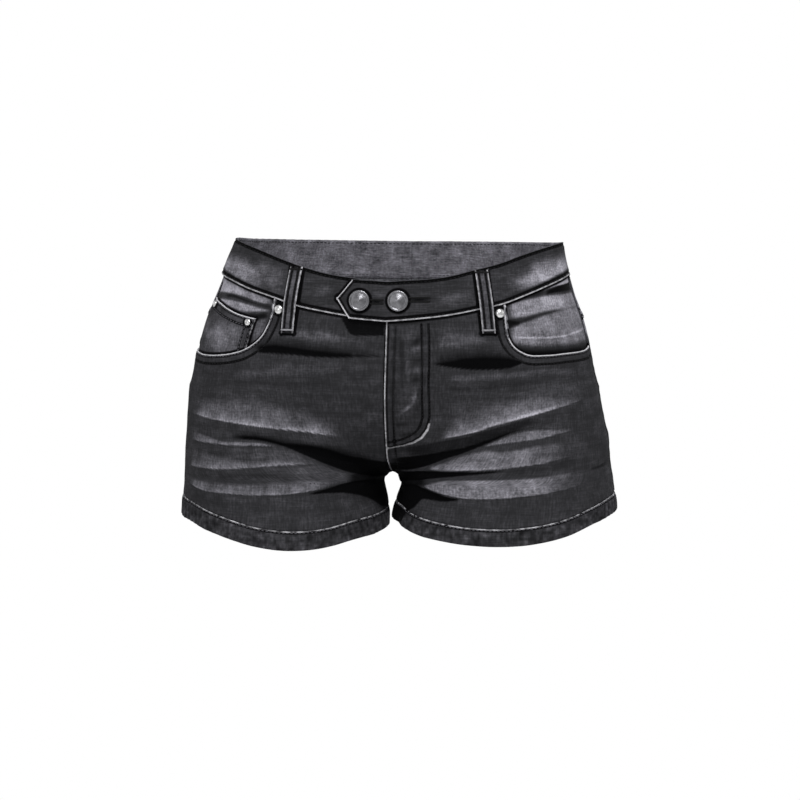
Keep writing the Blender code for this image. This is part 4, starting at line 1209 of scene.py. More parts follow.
def mouth_edge(side):
    mouth_u, mouth_z = mouth_line(side, np.linspace(0, 1, LINE_POINTS))
    return sewn(worn(side, np.minimum(mouth_u, 1), mouth_z), "edge", RUB["mouth"])


def fly_row(gap):
    """The curved row that holds the fly, or one beside it, gap further in."""
    x = np.array([at.x for at in FLY_STITCH])
    z = np.array([at.z for at in FLY_STITCH])
    outline = sewn(on_face(x, z, FRONT), "row")
    share = np.linspace(0, 1, LINE_POINTS)
    run = np.linspace(0, 1, len(outline.points))
    eased = [np.interp(share, run, outline.points[:, k]) for k in (0, 2)]
    soft = sewn(on_face(*eased, FRONT), "row", thread="dark")
    return beside(soft, gap, inside("fly"), "dark") if gap else soft


CROTCH_LINE, INSEAM_TOP = CROTCH_Z + 0.6, CROTCH_Z - 2
STUD_RADIUS = {"button": 9, "rivet": 4}
STUD_RIM_POINTS, LOOP_FOOT_POINTS = 40, 12


def loop_shades(side, facing):
    """Painted shadows on the cloth beside the edges and feet of the belt loops."""
    lines = []
    for loop in LOOPS:
        if loop.facing == facing and loop.top_x * side >= 0:
            lines += [loop_line(loop, across, 0, 1, "shade") for across in (0, 1)]
            x, z, _ = loop_at(loop, np.linspace(0, 1, LOOP_FOOT_POINTS), 1)
            lines.append(sewn(on_face(x, z, facing), "shade"))
    return lines


def stud_shades(studs):
    """Painted shadows on the cloth round the buttons and rivets."""
    turn = np.linspace(0, math.tau, STUD_RIM_POINTS)
    lines = []
    for stud in studs:
        radius = stud.size * STUD_RADIUS[stud.node.split("_")[0]]
        x = stud.x + radius * np.cos(turn)
        lines.append(sewn(on_face(x, stud.z + radius * np.sin(turn), FRONT), "shade"))
    return lines


def leg_seams(side, u):
    """The inner leg's seam, at that u, and the side seam below the pocket."""
    inseam = down_u(side, u, INSEAM_TOP, hem_seam(side, u), "seam")
    return inseam, down_u(side, 1, MOUTH[half_name(side)][-1].z, hem_seam(side, 1), "seam")


def front_lines(side):
    """The sewing of a front panel: the left one turns over at the centre and carries the fly's rows."""
    middle = inside("front", side)
    below = inside("mouth", side)
    mouth = mouth_edge(side)
    kind = "edge" if side > 0 else "seam"
    rise = down_u(side, 0, waist_seam(side, 0), CROTCH_LINE, kind, RUB["rise"])
    inseam, outseam = leg_seams(side, 0)
    band = along_u(side, 0, MOUTH[half_name(side)][0].u, waist_seam, "shade")
    lines = [mouth, rise, inseam, outseam, band] + loop_shades(side, FRONT)
    lines += stud_shades([stud for stud in STUDS[:2] if stud.x * side > 0])
    lines += [beside(mouth, ROW_NEAR, below, "grey"), beside(mouth, ROW_FAR, below, "dark")]
    lines.append(beside(inseam, ROW_NEAR, middle, "dark"))
    if side > 0:
        lines += two_rows(rise, middle, "dark", FLY_TRIM, FLY_TRIM)
        outer = fly_row(0)
        low = outer.points[:, 2] < FLY_WORN_BELOW
        worn_low = outer.points[low] + FLY_WORN_OFF, outer.lead[low]
        lines += [outer, fly_row(FLY_STITCH_GAP), sewn(worn_low, "fold", RUB["fly"])]
    return lines


def back_lines(side):
    """The sewing of a back panel, and the outline of the pocket that lies on it."""
    middle = inside("back", side)
    rise = down_u(side, 2, yoke_seam(side, 2), CROTCH_LINE, "seam")
    inseam, outseam = leg_seams(side, 2)
    lines = [rise, inseam, outseam, along_u(side, 1, 2, yoke_seam, "shade")]
    lines.append(beside(outseam, ROW_NEAR, middle, "dark"))
    if side > 0:
        lines += two_rows(rise, middle, "grey")
    return lines + [patch_outline(side)]


def yoke_lines(side):
    """The sewing of a yoke, whose lower edge lies over the back panel."""
    middle = inside("yoke", side)
    lower = along_u(side, 1, 2, yoke_seam, "edge", RUB["yoke"])
    rise = down_u(side, 2, waist_seam(side, 2), yoke_seam(side, 2), "seam")
    lines = [lower, rise, along_u(side, 1, 2, waist_seam, "shade")] + loop_shades(side, BACK)
    lines += two_rows(lower, middle, "grey")
    if side > 0:
        lines += two_rows(rise, middle, "grey")
    return lines


# ---- waistband ----
BAND_ROWS = (10, 6, 34)
LEFT_COLUMNS, TAB_POINT_COLUMNS, TAB_COLUMNS = 330, 12, 70
RIGHT_COLUMNS = 310
SEAM_OVER, SEAM_UNDER, SEAM_THICKER = 0.3, 0.6, 4
BAND_ROW, TOP_ROW, INNER_ROW = 2, 2.2, 3
UNDER_ROW_START, BAND_POINTS, SLANT_POINTS, TIP_POINTS = 0.06, 240, 30, 8
UP, TAB_INSIDE = (0, 0, 10000), (-20, -100, -28)
PINCH, PINCH_REACH = 0.16, 3


def folded(down, rows, fold_z, outer_z, inner_z, out, inner):
    """Height, out and face of a band by share: along its inner face, over its fold and back."""
    radius = (out - inner) / 2
    way = np.sign(fold_z - outer_z)
    step = down * sum(rows)
    level = fold_z - way * radius
    inside = np.clip(step / rows[0], 0, 1)
    turn = math.pi * (1 - np.clip((step - rows[0]) / rows[1], 0, 1))
    outside = np.clip((step - rows[0] - rows[1]) / rows[2], 0, 1)
    z = inner_z + (level - inner_z) * inside + way * radius * np.sin(turn)
    z = z + (outer_z - level) * outside
    return z, (out + inner) / 2 + radius * np.cos(turn), ease((1 + np.cos(turn)) / 2)


def band_sheet(side, v, top_z, bottom_z, down, lift, pinch):
    """A folded waistband at v, where a value below 0 lies on the other half."""
    out = np.full_like(v, BAND_OUT) - pinch
    inner = np.full_like(v, BAND_IN) + pinch
    z, level, face = folded(down, BAND_ROWS, top_z, bottom_z, bottom_z, out, inner)
    thicker = ease(1 - (z - bottom_z) / SEAM_THICKER)
    level = level + thicker * (SEAM_OVER * face - SEAM_UNDER * (1 - face))
    points, lead = across_centre(side, v, z)
    weave = np.stack([z, side * v * U_LENGTH], -1)
    return Laid(points, lead, level + lift, weave, face)


def under_columns(across):
    """v, top and bottom of the right half of the band, which runs on under the left half's end."""
    side = SIDES["right"]
    start = -share_at(-side, UNDERLAP, BAND_MIDDLE, FRONT)
    v = start + (2 - start) * across
    return v, waist_top(side, np.abs(v)), waist_seam(side, np.abs(v)) + SEAM_GAP / 2


def under_place(across, down):
    v, top_z, bottom_z = under_columns(across)
    return band_sheet(SIDES["right"], v, top_z, bottom_z, down, 0, 0)


def over_columns(across):
    """v, top, bottom and lift of the left half of the band with its pointed end."""
    side = SIDES["left"]
    spans = (0, TAB_POINT_COLUMNS, TAB_COLUMNS)
    column = across * LEFT_COLUMNS
    x = np.interp(column, spans, (-TAB_LENGTH, -TAB_SHOULDER, TAB_RAMP_END))
    near = np.sign(x) * share_at(side, np.abs(x), BAND_MIDDLE, FRONT)
    rest = np.clip((column - TAB_COLUMNS) / (LEFT_COLUMNS - TAB_COLUMNS), 0, 1)
    v = near + (2 - near) * rest
    top_z = waist_top(side, np.abs(v))
    bottom_z = waist_seam(side, np.abs(v)) + SEAM_GAP / 2
    tip_z = top_z - TAB_TIP_DROP
    narrow = np.clip((-TAB_SHOULDER - x) / (TAB_LENGTH - TAB_SHOULDER), 0, TAB_NARROWEST)
    top_z = top_z + (tip_z - top_z) * narrow
    bottom_z = bottom_z + (tip_z - bottom_z) * narrow
    lift = TAB_LIFT * ease((TAB_RAMP_END - x) / (TAB_RAMP_END - TAB_RAMP_START))
    pinch = PINCH * ease(1 - column / PINCH_REACH)
    return v, top_z, bottom_z, lift, pinch


def over_place(across, down):
    v, top_z, bottom_z, lift, pinch = over_columns(across)
    return band_sheet(SIDES["left"], v, top_z, bottom_z, down, lift, pinch)


def turned_in(laid, thread):
    """A row seen on a band's inner face."""
    return sewn((laid[0], -laid[1]), "row", thread=thread)


def band_rows(side, v, top_z, bottom_z):
    """The long rows of one half of the waistband, outside and inside."""
    bottom = sewn(across_centre(side, v, bottom_z), "edge", RUB["band"])
    top = across_centre(side, v, top_z - TOP_ROW)
    inner = across_centre(side, v, bottom_z + INNER_ROW)
    lines = [bottom, beside(bottom, BAND_ROW, UP, "dark"), sewn(top, "row", thread="dark")]
    lines.append(sewn(across_centre(side, v, top_z), "shade"))
    lines += loop_shades(side, FRONT) + loop_shades(side, BACK)
    return lines + [turned_in(inner, "grey"), turned_in(top, "dark")]


def tab_slants():
    """The two slanting edges of the waistband's pointed end, and its short blunt tip."""
    side = SIDES["left"]
    across = np.linspace(0, TAB_POINT_COLUMNS / LEFT_COLUMNS, SLANT_POINTS)
    v, top_z, bottom_z, _, _ = over_columns(across)
    tip_z = np.linspace(top_z[0], bottom_z[0], TIP_POINTS)
    slants = [across_centre(side, v, slant_z) for slant_z in (top_z, bottom_z)]
    return slants, across_centre(side, np.full_like(tip_z, v[0]), tip_z)


def under_lines():
    """The sewing of the band's right half, and the shade of the pointed end on it."""
    v, top_z, bottom_z = under_columns(np.linspace(UNDER_ROW_START, 1, BAND_POINTS))
    slants, tip = tab_slants()
    lines = band_rows(SIDES["right"], v, top_z, bottom_z)
    return lines + [sewn(laid, "shade") for laid in (*slants, tip)]


def over_lines():
    """The sewing of the band's left half, round its pointed end."""
    shoulder = TAB_POINT_COLUMNS / LEFT_COLUMNS
    v, top_z, bottom_z, _, _ = over_columns(np.linspace(shoulder, 1, BAND_POINTS))
    lines = band_rows(SIDES["left"], v, top_z, bottom_z)
    slants, tip = tab_slants()
    for laid in slants:
        slant = sewn(laid, "edge", RUB["tab"])
        lines += [slant, beside(slant, BAND_ROW, TAB_INSIDE, "dark", trim=END_TRIM)]
    return lines + [sewn(tip, "edge", RUB["tab"])] + stud_shades(BUTTONS)


# ---- hems ----
HEM_ROWS, HEM_COLUMNS = (6, 6, 18), 400
HEM_TOP_OUT, HEM_TOP_SOFT, HEM_INNER_GAP, HEM_ROW = 1.3, 6, 1.3, 1.7
ROPE, ROPE_LENGTH, ROPE_SLANT, ROPE_DRIFT = 0.4, 9, 0.45, ((31, 2.2), (12, 1.4))
ROPE_LEAST, ROPE_SPREAD, ROPE_PATCH = 0.35, 0.85, 19
WASH_PATCHES, WASH_FADE, WASH_DARK = (5, 2.4), 0.13, 0.5
RIDGE_FADE, GROOVE_DARK, DARKEST = 0.05, 0.4, 0.9


def hem_place(side, across, down):
    u = 2 * across
    top_z = hem_seam(side, u) - SEAM_GAP / 2
    inner_z = top_z - HEM_INNER_GAP
    low_z = top_z - HEM_HEIGHT[half_name(side)]
    z, out, face = folded(down, HEM_ROWS, low_z, top_z, inner_z, HEM_OUT, HEM_IN)
    out = out - face * (HEM_OUT - HEM_TOP_OUT) * ease(1 - (top_z - z) / HEM_TOP_SOFT)
    return laid_at(side, u, z, out, face)


def hem_row(side, u):
    return hem_seam(side, u) - HEM_ROW


def hem_lines(side):
    """A hem's row of stitches and the frayed edge above it."""
    row = along_u(side, 0, 2, hem_row, "row", thread="grey")
    return [row, along_u(side, 0, 2, hem_seam, "frayed", RUB["hem"])]


def hem_tone(side, row, points):
    """A hem's tone: uneven ridges where its cloth has twisted under the stitches, paler on top, with
    painted shade in the grooves between them, random paler and darker wash patches, and painted shade at
    its inner end between the legs.
    """
    _, run = nearest(points, row.points)
    drop = row.points[0, 2] - points[:, 2]
    drift = sum(size * np.sin(run / length + side) for length, size in ROPE_DRIFT)
    wave = np.sin(math.tau * (run + ROPE_SLANT * drop) / ROPE_LENGTH + drift)
    strength = np.clip(ROPE_LEAST + ROPE_SPREAD * speckle(points, ROPE_PATCH), 0, 1)
    wash = sum(speckle(points, size) for size in WASH_PATCHES)
    fade = WASH_FADE * np.clip(wash, 0, None) + RIDGE_FADE * strength * np.clip(wave, 0, None)
    shade = wear_and_painted_light(points, HEM_AREAS, ())[1] * at_front(points) if side > 0 else 0
    # painted shade in the grooves between the twisted ridges
    groove = GROOVE_DARK * strength * np.clip(-wave, 0, None)
    groove_shade_and_wash = np.clip(groove + WASH_DARK * np.clip(-wash, 0, None), 0, DARKEST)
    return fade, 1 - (1 - groove_shade_and_wash) * (1 - shade), ROPE * strength * wave


# ---- pockets and the fly inside ----
FACING_GRID, COIN_GRID, PATCH_GRID = (100, 76), (64, 52), (84, 72)
SHIELD_GRID, ZIP_GRID = (24, 76), (14, 76)
JOIN_OUT, JOIN_REACH = 0.1, 9
COIN_INSIDE, COIN_TOP_TRIM, COIN_SIDE_TRIM = (-148, -60, -70), 8, 3
PATCH_TRIM, PATCH_TOP_ROW = 6, 12


def facing_place(side, across, down):
    name = half_name(side)
    lowest = MOUTH[name][-1].z - FACING_DROP
    u = FACING_INNER + (FACING_UNDER - FACING_INNER) * across
    top_z = waist_seam(side, u) + TUCK
    z = top_z + (lowest - top_z) * denser(down)
    near = ease(1 - (top_z - z) / JOIN_REACH)
    return laid_at(side, u, z, FACING_OUT[name] + (JOIN_OUT - FACING_OUT[name]) * near)


def facing_lines(side):
    """Painted shadows on a facing, beside the waistband, the pocket's mouth and the edges of a coin
    pocket.
    """
    lines = [along_u(side, FACING_INNER, 1, waist_seam, "shade"), mouth_edge(side)]
    if side < 0:
        lines += coin_lines()[:2]
    return [path._replace(kind="shade") for path in lines]


def coin_height(u, down):
    """The coin pocket's height at u, by share of the way down."""
    top_z = read(COIN_TOP, "z", u)
    return top_z + (read(COIN_BOTTOM, "z", u) - top_z) * down


def coin_edge(down):
    """The u of the coin pocket's inner edge, by share of the way down."""
    return COIN_INNER_TOP + (COIN_INNER_BOTTOM - COIN_INNER_TOP) * down


def coin_place(across, down):
    side = SIDES["right"]
    down = denser(down)
    inner = coin_edge(down)
    u = inner + (COIN_OUTER - inner) * denser(across)
    return laid_at(side, u, coin_height(u, down), np.full_like(u, COIN_OUT))


def coin_lines():
    """The coin pocket's two open edges, the rows beside them and the rims of its rivets."""
    side = SIDES["right"]
    u = np.linspace(COIN_INNER_TOP, COIN_OUTER, 2 * SHORT_POINTS)
    top = sewn(worn(side, u, coin_height(u, 0)), "edge", RUB["coin top"])
    down = np.linspace(0, 1, SHORT_POINTS)
    inner_u = coin_edge(down)
    inner = sewn(worn(side, inner_u, coin_height(inner_u, down)), "edge", RUB["coin side"])
    lines = [top, inner] + two_rows(top, COIN_INSIDE, "grey", END_TRIM, COIN_TOP_TRIM)
    lines += two_rows(inner, COIN_INSIDE, "grey", END_TRIM, COIN_SIDE_TRIM)
    return lines + [mouth_edge(side)._replace(kind="shade")] + stud_shades(STUDS[2:])


def patch_at(across, down):
    """u and z of a five-sided back pocket."""
    u = 1 + (POCKET_START + (POCKET_END - POCKET_START) * across)
    sideways = 2 * across - 1
    height = POCKET_SIDE + (POCKET_POINT - POCKET_SIDE) * (1 - np.abs(sideways))
    return u, POCKET_TOP - POCKET_TILT * sideways - height * down


def patch_place(side, across, down):
    u, z = patch_at(denser(across), denser(down))
    return laid_at(side, u, z, PATCH_OUT + PATCH_DROOP * down)


def patch_outline(side):
    """A back pocket's side and lower edges."""
    step = np.linspace(0, 1, SHORT_POINTS)
    still = np.ones(SHORT_POINTS)
    across = np.concatenate([0 * still, step[1:], still[1:]])
    down = np.concatenate([step, still[1:], 1 - step[1:]])
    return sewn(worn(side, *patch_at(across, down)), "seam")


def patch_lines(side):
    """A back pocket's five turned edges, each with its two rows."""
    middle = inside("patch", side)
    lines = []
    step = np.linspace(0, 1, SHORT_POINTS)
    still = np.ones(SHORT_POINTS)
    half = SHORT_POINTS // 2
    inner = (step[: half + 1], still[: half + 1])
    outer = (step[half:], still[half:])
    for across, down in ((0 * still, step), inner, outer, (still, step)):
        edge = sewn(worn(side, *patch_at(across, down)), "edge", RUB["patch"])
        lines += [edge] + two_rows(edge, middle, "grey", END_TRIM, PATCH_TRIM)
    top = sewn(worn(side, *patch_at(step, 0 * still)), "edge", RUB["patch top"])
    rows = [beside(top, gap, middle, "grey", trim=END_TRIM) for gap in (ROW_NEAR, PATCH_TOP_ROW)]
    return lines + [top] + rows


def box_place(box, out, across, down):
    left, right, top, bottom = box
    z = top + (bottom - top) * down
    x = left + (right - left) * across + section("seam_x", z)
    points, lead = on_face(x, z, FRONT)
    return Laid(points, lead, np.full_like(x, out), np.stack([x, z], -1), np.ones_like(x))


def box_shape():
    """A unit box with softened edges: points and faces."""
    mesh = bmesh.new()
    bmesh.ops.create_cube(mesh, size=1)
    bmesh.ops.bevel(mesh, geom=mesh.edges[:], offset=ZIP_EDGE, segments=1, affect="EDGES", profile=0.5,
        material=-1)
    return shape_of(mesh)


def lay_zip(finish):
    """The zip's two rows of stamped teeth on the inner side of its tape, and its slider above."""
    x, top, bottom = ZIP_CHAIN
    teeth = np.arange(top, bottom, -TOOTH_PITCH)
    shift = TOOTH_SHIFT * (-1) ** np.arange(len(teeth))
    slider = np.array([top + SLIDER[2] / 2])
    shape, faces = box_shape()
    for name, z, off, size in (("zip_teeth", teeth, shift, TOOTH), ("zip_slider", slider, 0, SLIDER)):
        points, lead = on_face(x + off + section("seam_x", z), z, FRONT)
        middle = points + lead * (ZIP_OUT - LAYER_THICK - size[1] / 4)
        copies = middle[:, None] + shape * size
        join_copies(name, copies, faces, finish)


# ---- belt loops ----
LOOP_GRID, LOOP_ROW, LOOP_ROW_START, LOOP_ROW_END = (16, 62), 2.8, 0.02, 0.96
LOOP_FADE, LOOP_MOTTLE, LOOP_PATCH, LOOP_DARK, LOOP_END = 0.15, 0.5, 7, 0.7, 0.1
LOOP_TACKS, TACK_START, TACK_END = (("top", 0.04, "dark"), ("foot", 0.95, "pale")), 0.02, 0.98


def loop_seat(loop):
    """The side, and the heights of the top end and of the waist seam under a belt loop."""
    side = 1 if loop.top_x >= 0 else -1
    u = share_at(side, abs(loop.top_x), BAND_MIDDLE, loop.facing)
    return float(waist_top(side, u)) - LOOP_BELOW_TOP, float(waist_seam(side, u))


def loop_at(loop, across, down):
    """x, z and out of a belt loop: ends on the cloth, middle arched clear of it."""
    top_z, seam_z = loop_seat(loop)
    x = loop.top_x + (loop.bottom_x - loop.top_x) * down + LOOP_WIDTH * (across - 0.5)
    z = top_z - loop.drop * down
    seat = BAND_OUT + (PANEL_OUT - BAND_OUT) * ease((seam_z - z) / LOOP_STEP)
    arch = LOOP_ARCH * np.sin(math.pi * down) ** LOOP_ARCH_POWER
    return x, z, seat + SEAM_GAP + arch + LOOP_THICKNESS


def loop_place(loop, across, down):
    x, z, out = loop_at(loop, across, down)
    points, lead = on_face(x, z, loop.facing)
    return Laid(points, lead, out, np.stack([x, z], -1), np.ones_like(x))


def loop_line(loop, across, start, end, kind, rub=0, thread=None):
    """A line of sewing down a belt loop, by share across it and from share to share of its drop."""
    down = np.linspace(start, end, SHORT_POINTS)
    x, z, _ = loop_at(loop, across, down)
    return sewn(on_face(x, z, loop.facing), kind, rub, thread)


def loop_tone(loop, points):
    """A belt loop's wear: its raised middle rubs pale, its ends stay dark."""
    top_z, _ = loop_seat(loop)
    share = (top_z - points[:, 2]) / loop.drop
    ends = ease(share / LOOP_END) * ease((1 - share) / LOOP_END)
    fade = LOOP_FADE * ends * (1 + LOOP_MOTTLE * speckle(points, LOOP_PATCH))
    return fade, LOOP_DARK * (1 - ends), np.zeros(len(points))


def loop_lines(loop):
    """A belt loop's two turned edges and the row beside each."""
    inner = LOOP_ROW / LOOP_WIDTH
    lines = [loop_line(loop, across, 0, 1, "edge", RUB["loop"]) for across in (0, 1)]
    for across in (inner, 1 - inner):
        lines.append(loop_line(loop, across, LOOP_ROW_START, LOOP_ROW_END, "row", thread="dark"))
    return lines


# ---- finishes ----
def linear(hex_colour):
    """An sRGB hex colour as linear red, green, blue and alpha."""
    parts = [int(hex_colour[k : k + 2], 16) / 255 for k in (1, 3, 5)]
    return (*(p / 12.92 if p <= 0.04045 else ((p + 0.055) / 1.055) ** 2.4 for p in parts), 1)


def node(tree, kind, inputs=(), out=0, **settings):
    """Adds one node and gives its output. Inputs, by name or in order, are values or outputs."""
    made = tree.nodes.new("ShaderNode" + kind)
    for name, value in settings.items():
        setattr(made, name, value)
    for name, value in inputs.items() if isinstance(inputs, dict) else enumerate(inputs):
        if isinstance(value, bpy.types.NodeSocket):
            tree.links.new(value, made.inputs[name])
        else:
            made.inputs[name].default_value = value
    return made.outputs[out] if made.outputs else made


def material_of(name, finish, *settings):
    """The material of that name, made once from the shader output that its finish gives."""
    material = bpy.data.materials.get(name)
    if not material:
        material = bpy.data.materials.new(name)
        material.use_nodes = True
        material.node_tree.nodes.clear()
        shader = finish(material.node_tree, *settings)
        node(material.node_tree, "OutputMaterial", {"Surface": shader})
    return material


# A wave texture at scale 1 repeats every pi / 10 of its vector.
WAVE_PERIOD = math.pi / 10
# Warp threads lie about 0.4 mm apart, too fine to show, so they are drawn at 1.2 mm; a slub, the
# thicker stretch of a thread, is about 9 mm long.
THREAD_PITCH, SLUB_LENGTH = 0.0012, 0.009
# The twill's slanting ribs are about 0.7 mm apart, too fine to show, so they are drawn as broken
# streaks 1.3 mm wide and 3 mm long.
RIB_WIDTH, RIB_LENGTH, TWILL_SLANT = 0.0013, 0.003, {"Rotation": (0, 0, 0.5)}
# A stone wash leaves blotches about 1.8 mm across, hand sanding leaves level streaks
# about 5 mm high and 45 mm long, and wear gathers in clouds 13 mm across.
BLOTCH_WIDTH, BLOTCH_LENGTH, STREAK_HEIGHT, STREAK_LENGTH, CLOUD = 0.0018, 0.0022, 0.005, 0.045, 0.013
# Fading is even on the eye's scale, so it is raised to this power before it mixes the colours.
FADE_POWER = 1.7
BASE_WEAR, CLOUDED, STREAKED, BLOTCHED, GRAIN = 0.1, 0.025, 0.045, 0.22, 0.05
RUB_GAIN, RUB_BREAKS = 1.25, 0.55
MULTIPLY_ADD, ADD, MULTIPLY = ({"operation": kind} for kind in ("MULTIPLY_ADD", "ADD", "MULTIPLY"))
COLOUR_MIX = {"out": 2, "data_type": "RGBA"}
SOFT_STEP = {"interpolation_type": "SMOOTHSTEP"}
# Cotton scatters almost all light: rough, with next to no shine.
COTTON = {"Roughness": 0.92, "IOR": 1.5, "Specular IOR Level": 0.06}


def denim_outside(tree):
    """Black warp-faced denim, stone washed and hand sanded: matt, dark, with a pale worn grain, and with
    painted shade in its creases and grooves.
    """
    colours = bpy.context.scene.shorts_colours
    place = node(tree, "TexCoord", out="Object")
    weave = node(tree, "UVMap", uv_map="weave")
    fade, crease, edge, rub, row = (node(tree, "Attribute", out="Fac", attribute_name=kind)
        for kind in ("fade", "crease", "edge", "rub", "row"))
    slant = node(tree, "Mapping", {"Vector": weave, **TWILL_SLANT})
    patterns = ((weave, THREAD_PITCH, SLUB_LENGTH, 1), (weave, SLUB_LENGTH, THREAD_PITCH, 1),
        (slant, RIB_WIDTH, RIB_LENGTH, 1), (weave, BLOTCH_WIDTH, BLOTCH_LENGTH, 1),
        (place, STREAK_LENGTH, STREAK_LENGTH, STREAK_HEIGHT), (place, CLOUD, CLOUD, CLOUD))
    noise = []
    for vector, *size in patterns:
        spread = node(tree, "Mapping", {"Vector": vector, "Scale": [1 / each for each in size]})
        raw = node(tree, "TexNoise", {"Vector": spread, "Scale": 1, "Detail": 3})
        noise.append(node(tree, "MapRange", (raw, 0.3, 0.7, -1, 1)))
    warp, weft, rib, blotch, streak, cloud = noise
    # worn cloth is blotched and ribbed, and all of it has faint clouds and streaks
    texture = node(tree, "Math", (rib, 0.5, blotch), **MULTIPLY_ADD)
    texture = node(tree, "Math", (cloud, texture), **ADD)
    gain = node(tree, "Math", (texture, BLOTCHED, 1), **MULTIPLY_ADD)
    clouds = node(tree, "Math", (cloud, CLOUDED, BASE_WEAR), **MULTIPLY_ADD)
    base = node(tree, "Math", (streak, STREAKED, clouds), **MULTIPLY_ADD)
    # the fade attribute holds the wash, and on the hips a painted highlight as well
    worn_and_highlight = node(tree, "Math", (fade, base), **ADD)
    share = node(tree, "Math", (worn_and_highlight, gain), **MULTIPLY)
    grain = node(tree, "Math", (weft, 0.6, warp), **MULTIPLY_ADD)
    depth = node(tree, "Math", (share, 0.1, GRAIN), **MULTIPLY_ADD)
    share = node(tree, "Math", (grain, depth, share), use_clamp=True, **MULTIPLY_ADD)
    share = node(tree, "Math", (share, FADE_POWER), operation="POWER")
    body = node(tree, "Mix", {0: share, 6: (*colours.dark, 1), 7: (*colours.faded_and_highlight, 1)}, **COLOUR_MIX)
    # painted shade: creases, the grooves beside rows of stitches and the rims beside pieces that lie over
    # the cloth are darkened towards near black, where shade falls; in the creases the wash also left the
    # dye dark
    groove = node(tree, "MapRange", (row, 0.5, 1.7, 0.97, 0), **SOFT_STEP)
    unwashed_and_shade = node(tree, "Math", (groove, crease), operation="MAXIMUM")
    body = node(tree, "Mix", {0: unwashed_and_shade, 6: body, 7: (*colours.crease, 1)}, **COLOUR_MIX)
    # a turned edge wears through to the white weft, in patches about 4.5 mm long
    broken = node(tree, "TexNoise", {"Vector": place, "Scale": 220, "Detail": 3})
    broken = node(tree, "MapRange", (broken, 0.36, 0.6, -RUB_BREAKS, 0))
    worn_through = node(tree, "Math", (rub, RUB_GAIN, broken), use_clamp=True, **MULTIPLY_ADD)
    rubbed = node(tree, "MapRange", (edge, 0.6, 1.5, 0.95, 0), **SOFT_STEP)
    rubbed = node(tree, "Math", (rubbed, worn_through), **MULTIPLY)
    body = node(tree, "Mix", {0: rubbed, 6: body, 7: (*colours.rubbed, 1)}, **COLOUR_MIX)
    relief = node(tree, "Math", (rib, warp), **ADD)
    relief = node(tree, "Math", (weft, relief), **ADD)
    bump = node(tree, "Bump", {"Height": relief, "Strength": 0.5, "Distance": 0.0002})
    return node(tree, "BsdfPrincipled", {"Base Color": body, "Normal": bump, **COTTON})


def denim_inside(tree):
    """The weft face of the same denim: pale weft over black warp, so grey, softer and speckled."""
    colours = bpy.context.scene.shorts_colours
    weave = node(tree, "UVMap", uv_map="weave")
    slant = node(tree, "Mapping", {"Vector": weave, **TWILL_SLANT})
    noise = []
    for vector, *size in ((weave, SLUB_LENGTH, THREAD_PITCH, 1), (slant, RIB_WIDTH, RIB_LENGTH, 1)):
        spread = node(tree, "Mapping", {"Vector": vector, "Scale": [1 / each for each in size]})
        noise.append(node(tree, "TexNoise", {"Vector": spread, "Scale": 1, "Detail": 3}))
    both = node(tree, "Math", noise, **ADD)
    share = node(tree, "MapRange", (both, 0.75, 1.25, 0, 1))
    colour = {0: share, 6: (*colours.inside, 1), 7: (*colours.inside_weft, 1)}
    body = node(tree, "Mix", colour, **COLOUR_MIX)
    bump = node(tree, "Bump", {"Height": both, "Strength": 0.5, "Distance": 0.0003})
    return node(tree, "BsdfPrincipled", {"Base Color": body, "Normal": bump, **COTTON, "Roughness": 0.95})


# The plies of sewing thread wind round it about every 0.8 mm, drawn as they are.
PLY_PITCH, THREAD_SHINE, WORN_DYE = 0.0008, 0.2, 0.55


def spun_thread(tree, colour):
    """Core-spun polyester sewing thread, dyed: soft sheen, fine slanting plies."""
    place = node(tree, "TexCoord", out="Object")
    turned_way = node(tree, "Mapping", {"Vector": place, "Rotation": (0.4, 0.9, 0.6)})
    plies = node(tree, "TexWave", {"Vector": turned_way, "Scale": WAVE_PERIOD / PLY_PITCH}, out="Fac")
    # the dye has worn in patches about 11 mm long
    worn_patch = node(tree, "TexNoise", {"Vector": place, "Scale": 90, "Detail": 2})
    base = getattr(bpy.context.scene.shorts_colours, "thread_" + colour)
    dulled = (*(WORN_DYE * part for part in base), 1)
    share = node(tree, "MapRange", (worn_patch, 0.35, 0.65, 0, 1))
    body = node(tree, "Mix", {0: share, 6: (*base, 1), 7: dulled}, **COLOUR_MIX)
    bump = node(tree, "Bump", {"Height": plies, "Strength": 0.4, "Distance": 0.0001})
    polyester = {"Roughness": 0.7, "IOR": 1.55, "Specular IOR Level": THREAD_SHINE}
    return node(tree, "BsdfPrincipled", {"Base Color": body, "Normal": bump, **polyester})


FILM_DARK = 0.4


def aged_steel(tree, colour, roughness, patina):
    """Plated steel, stamped and tumbled: a soft shine with a dull film in its hollows."""
    place = node(tree, "TexCoord", out="Object")
    # handling marks about 1 mm across, and a film in patches of about 3 mm
    marks = node(tree, "TexNoise", {"Vector": place, "Scale": 900, "Detail": 3})
    film = node(tree, "TexNoise", {"Vector": place, "Scale": 350, "Detail": 2})
    share = node(tree, "MapRange", (film, 0.35, 0.7, 0, patina))
    dull = (*(FILM_DARK * part for part in colour), 1)
    body = node(tree, "Mix", {0: share, 6: (*colour, 1), 7: dull}, **COLOUR_MIX)
    rough = node(tree, "MapRange", (marks, 0.3, 0.7, roughness - 0.06, roughness + 0.1))
    bump = node(tree, "Bump", {"Height": marks, "Strength": 0.15, "Distance": 0.0001})
    metal = {"Base Color": body, "Roughness": rough, "Normal": bump, "Metallic": 1}
    return node(tree, "BsdfPrincipled", metal)


# The tape's ribs are about 0.5 mm apart, too fine to show, so they are drawn at 1 mm.
TAPE_RIB = 0.001


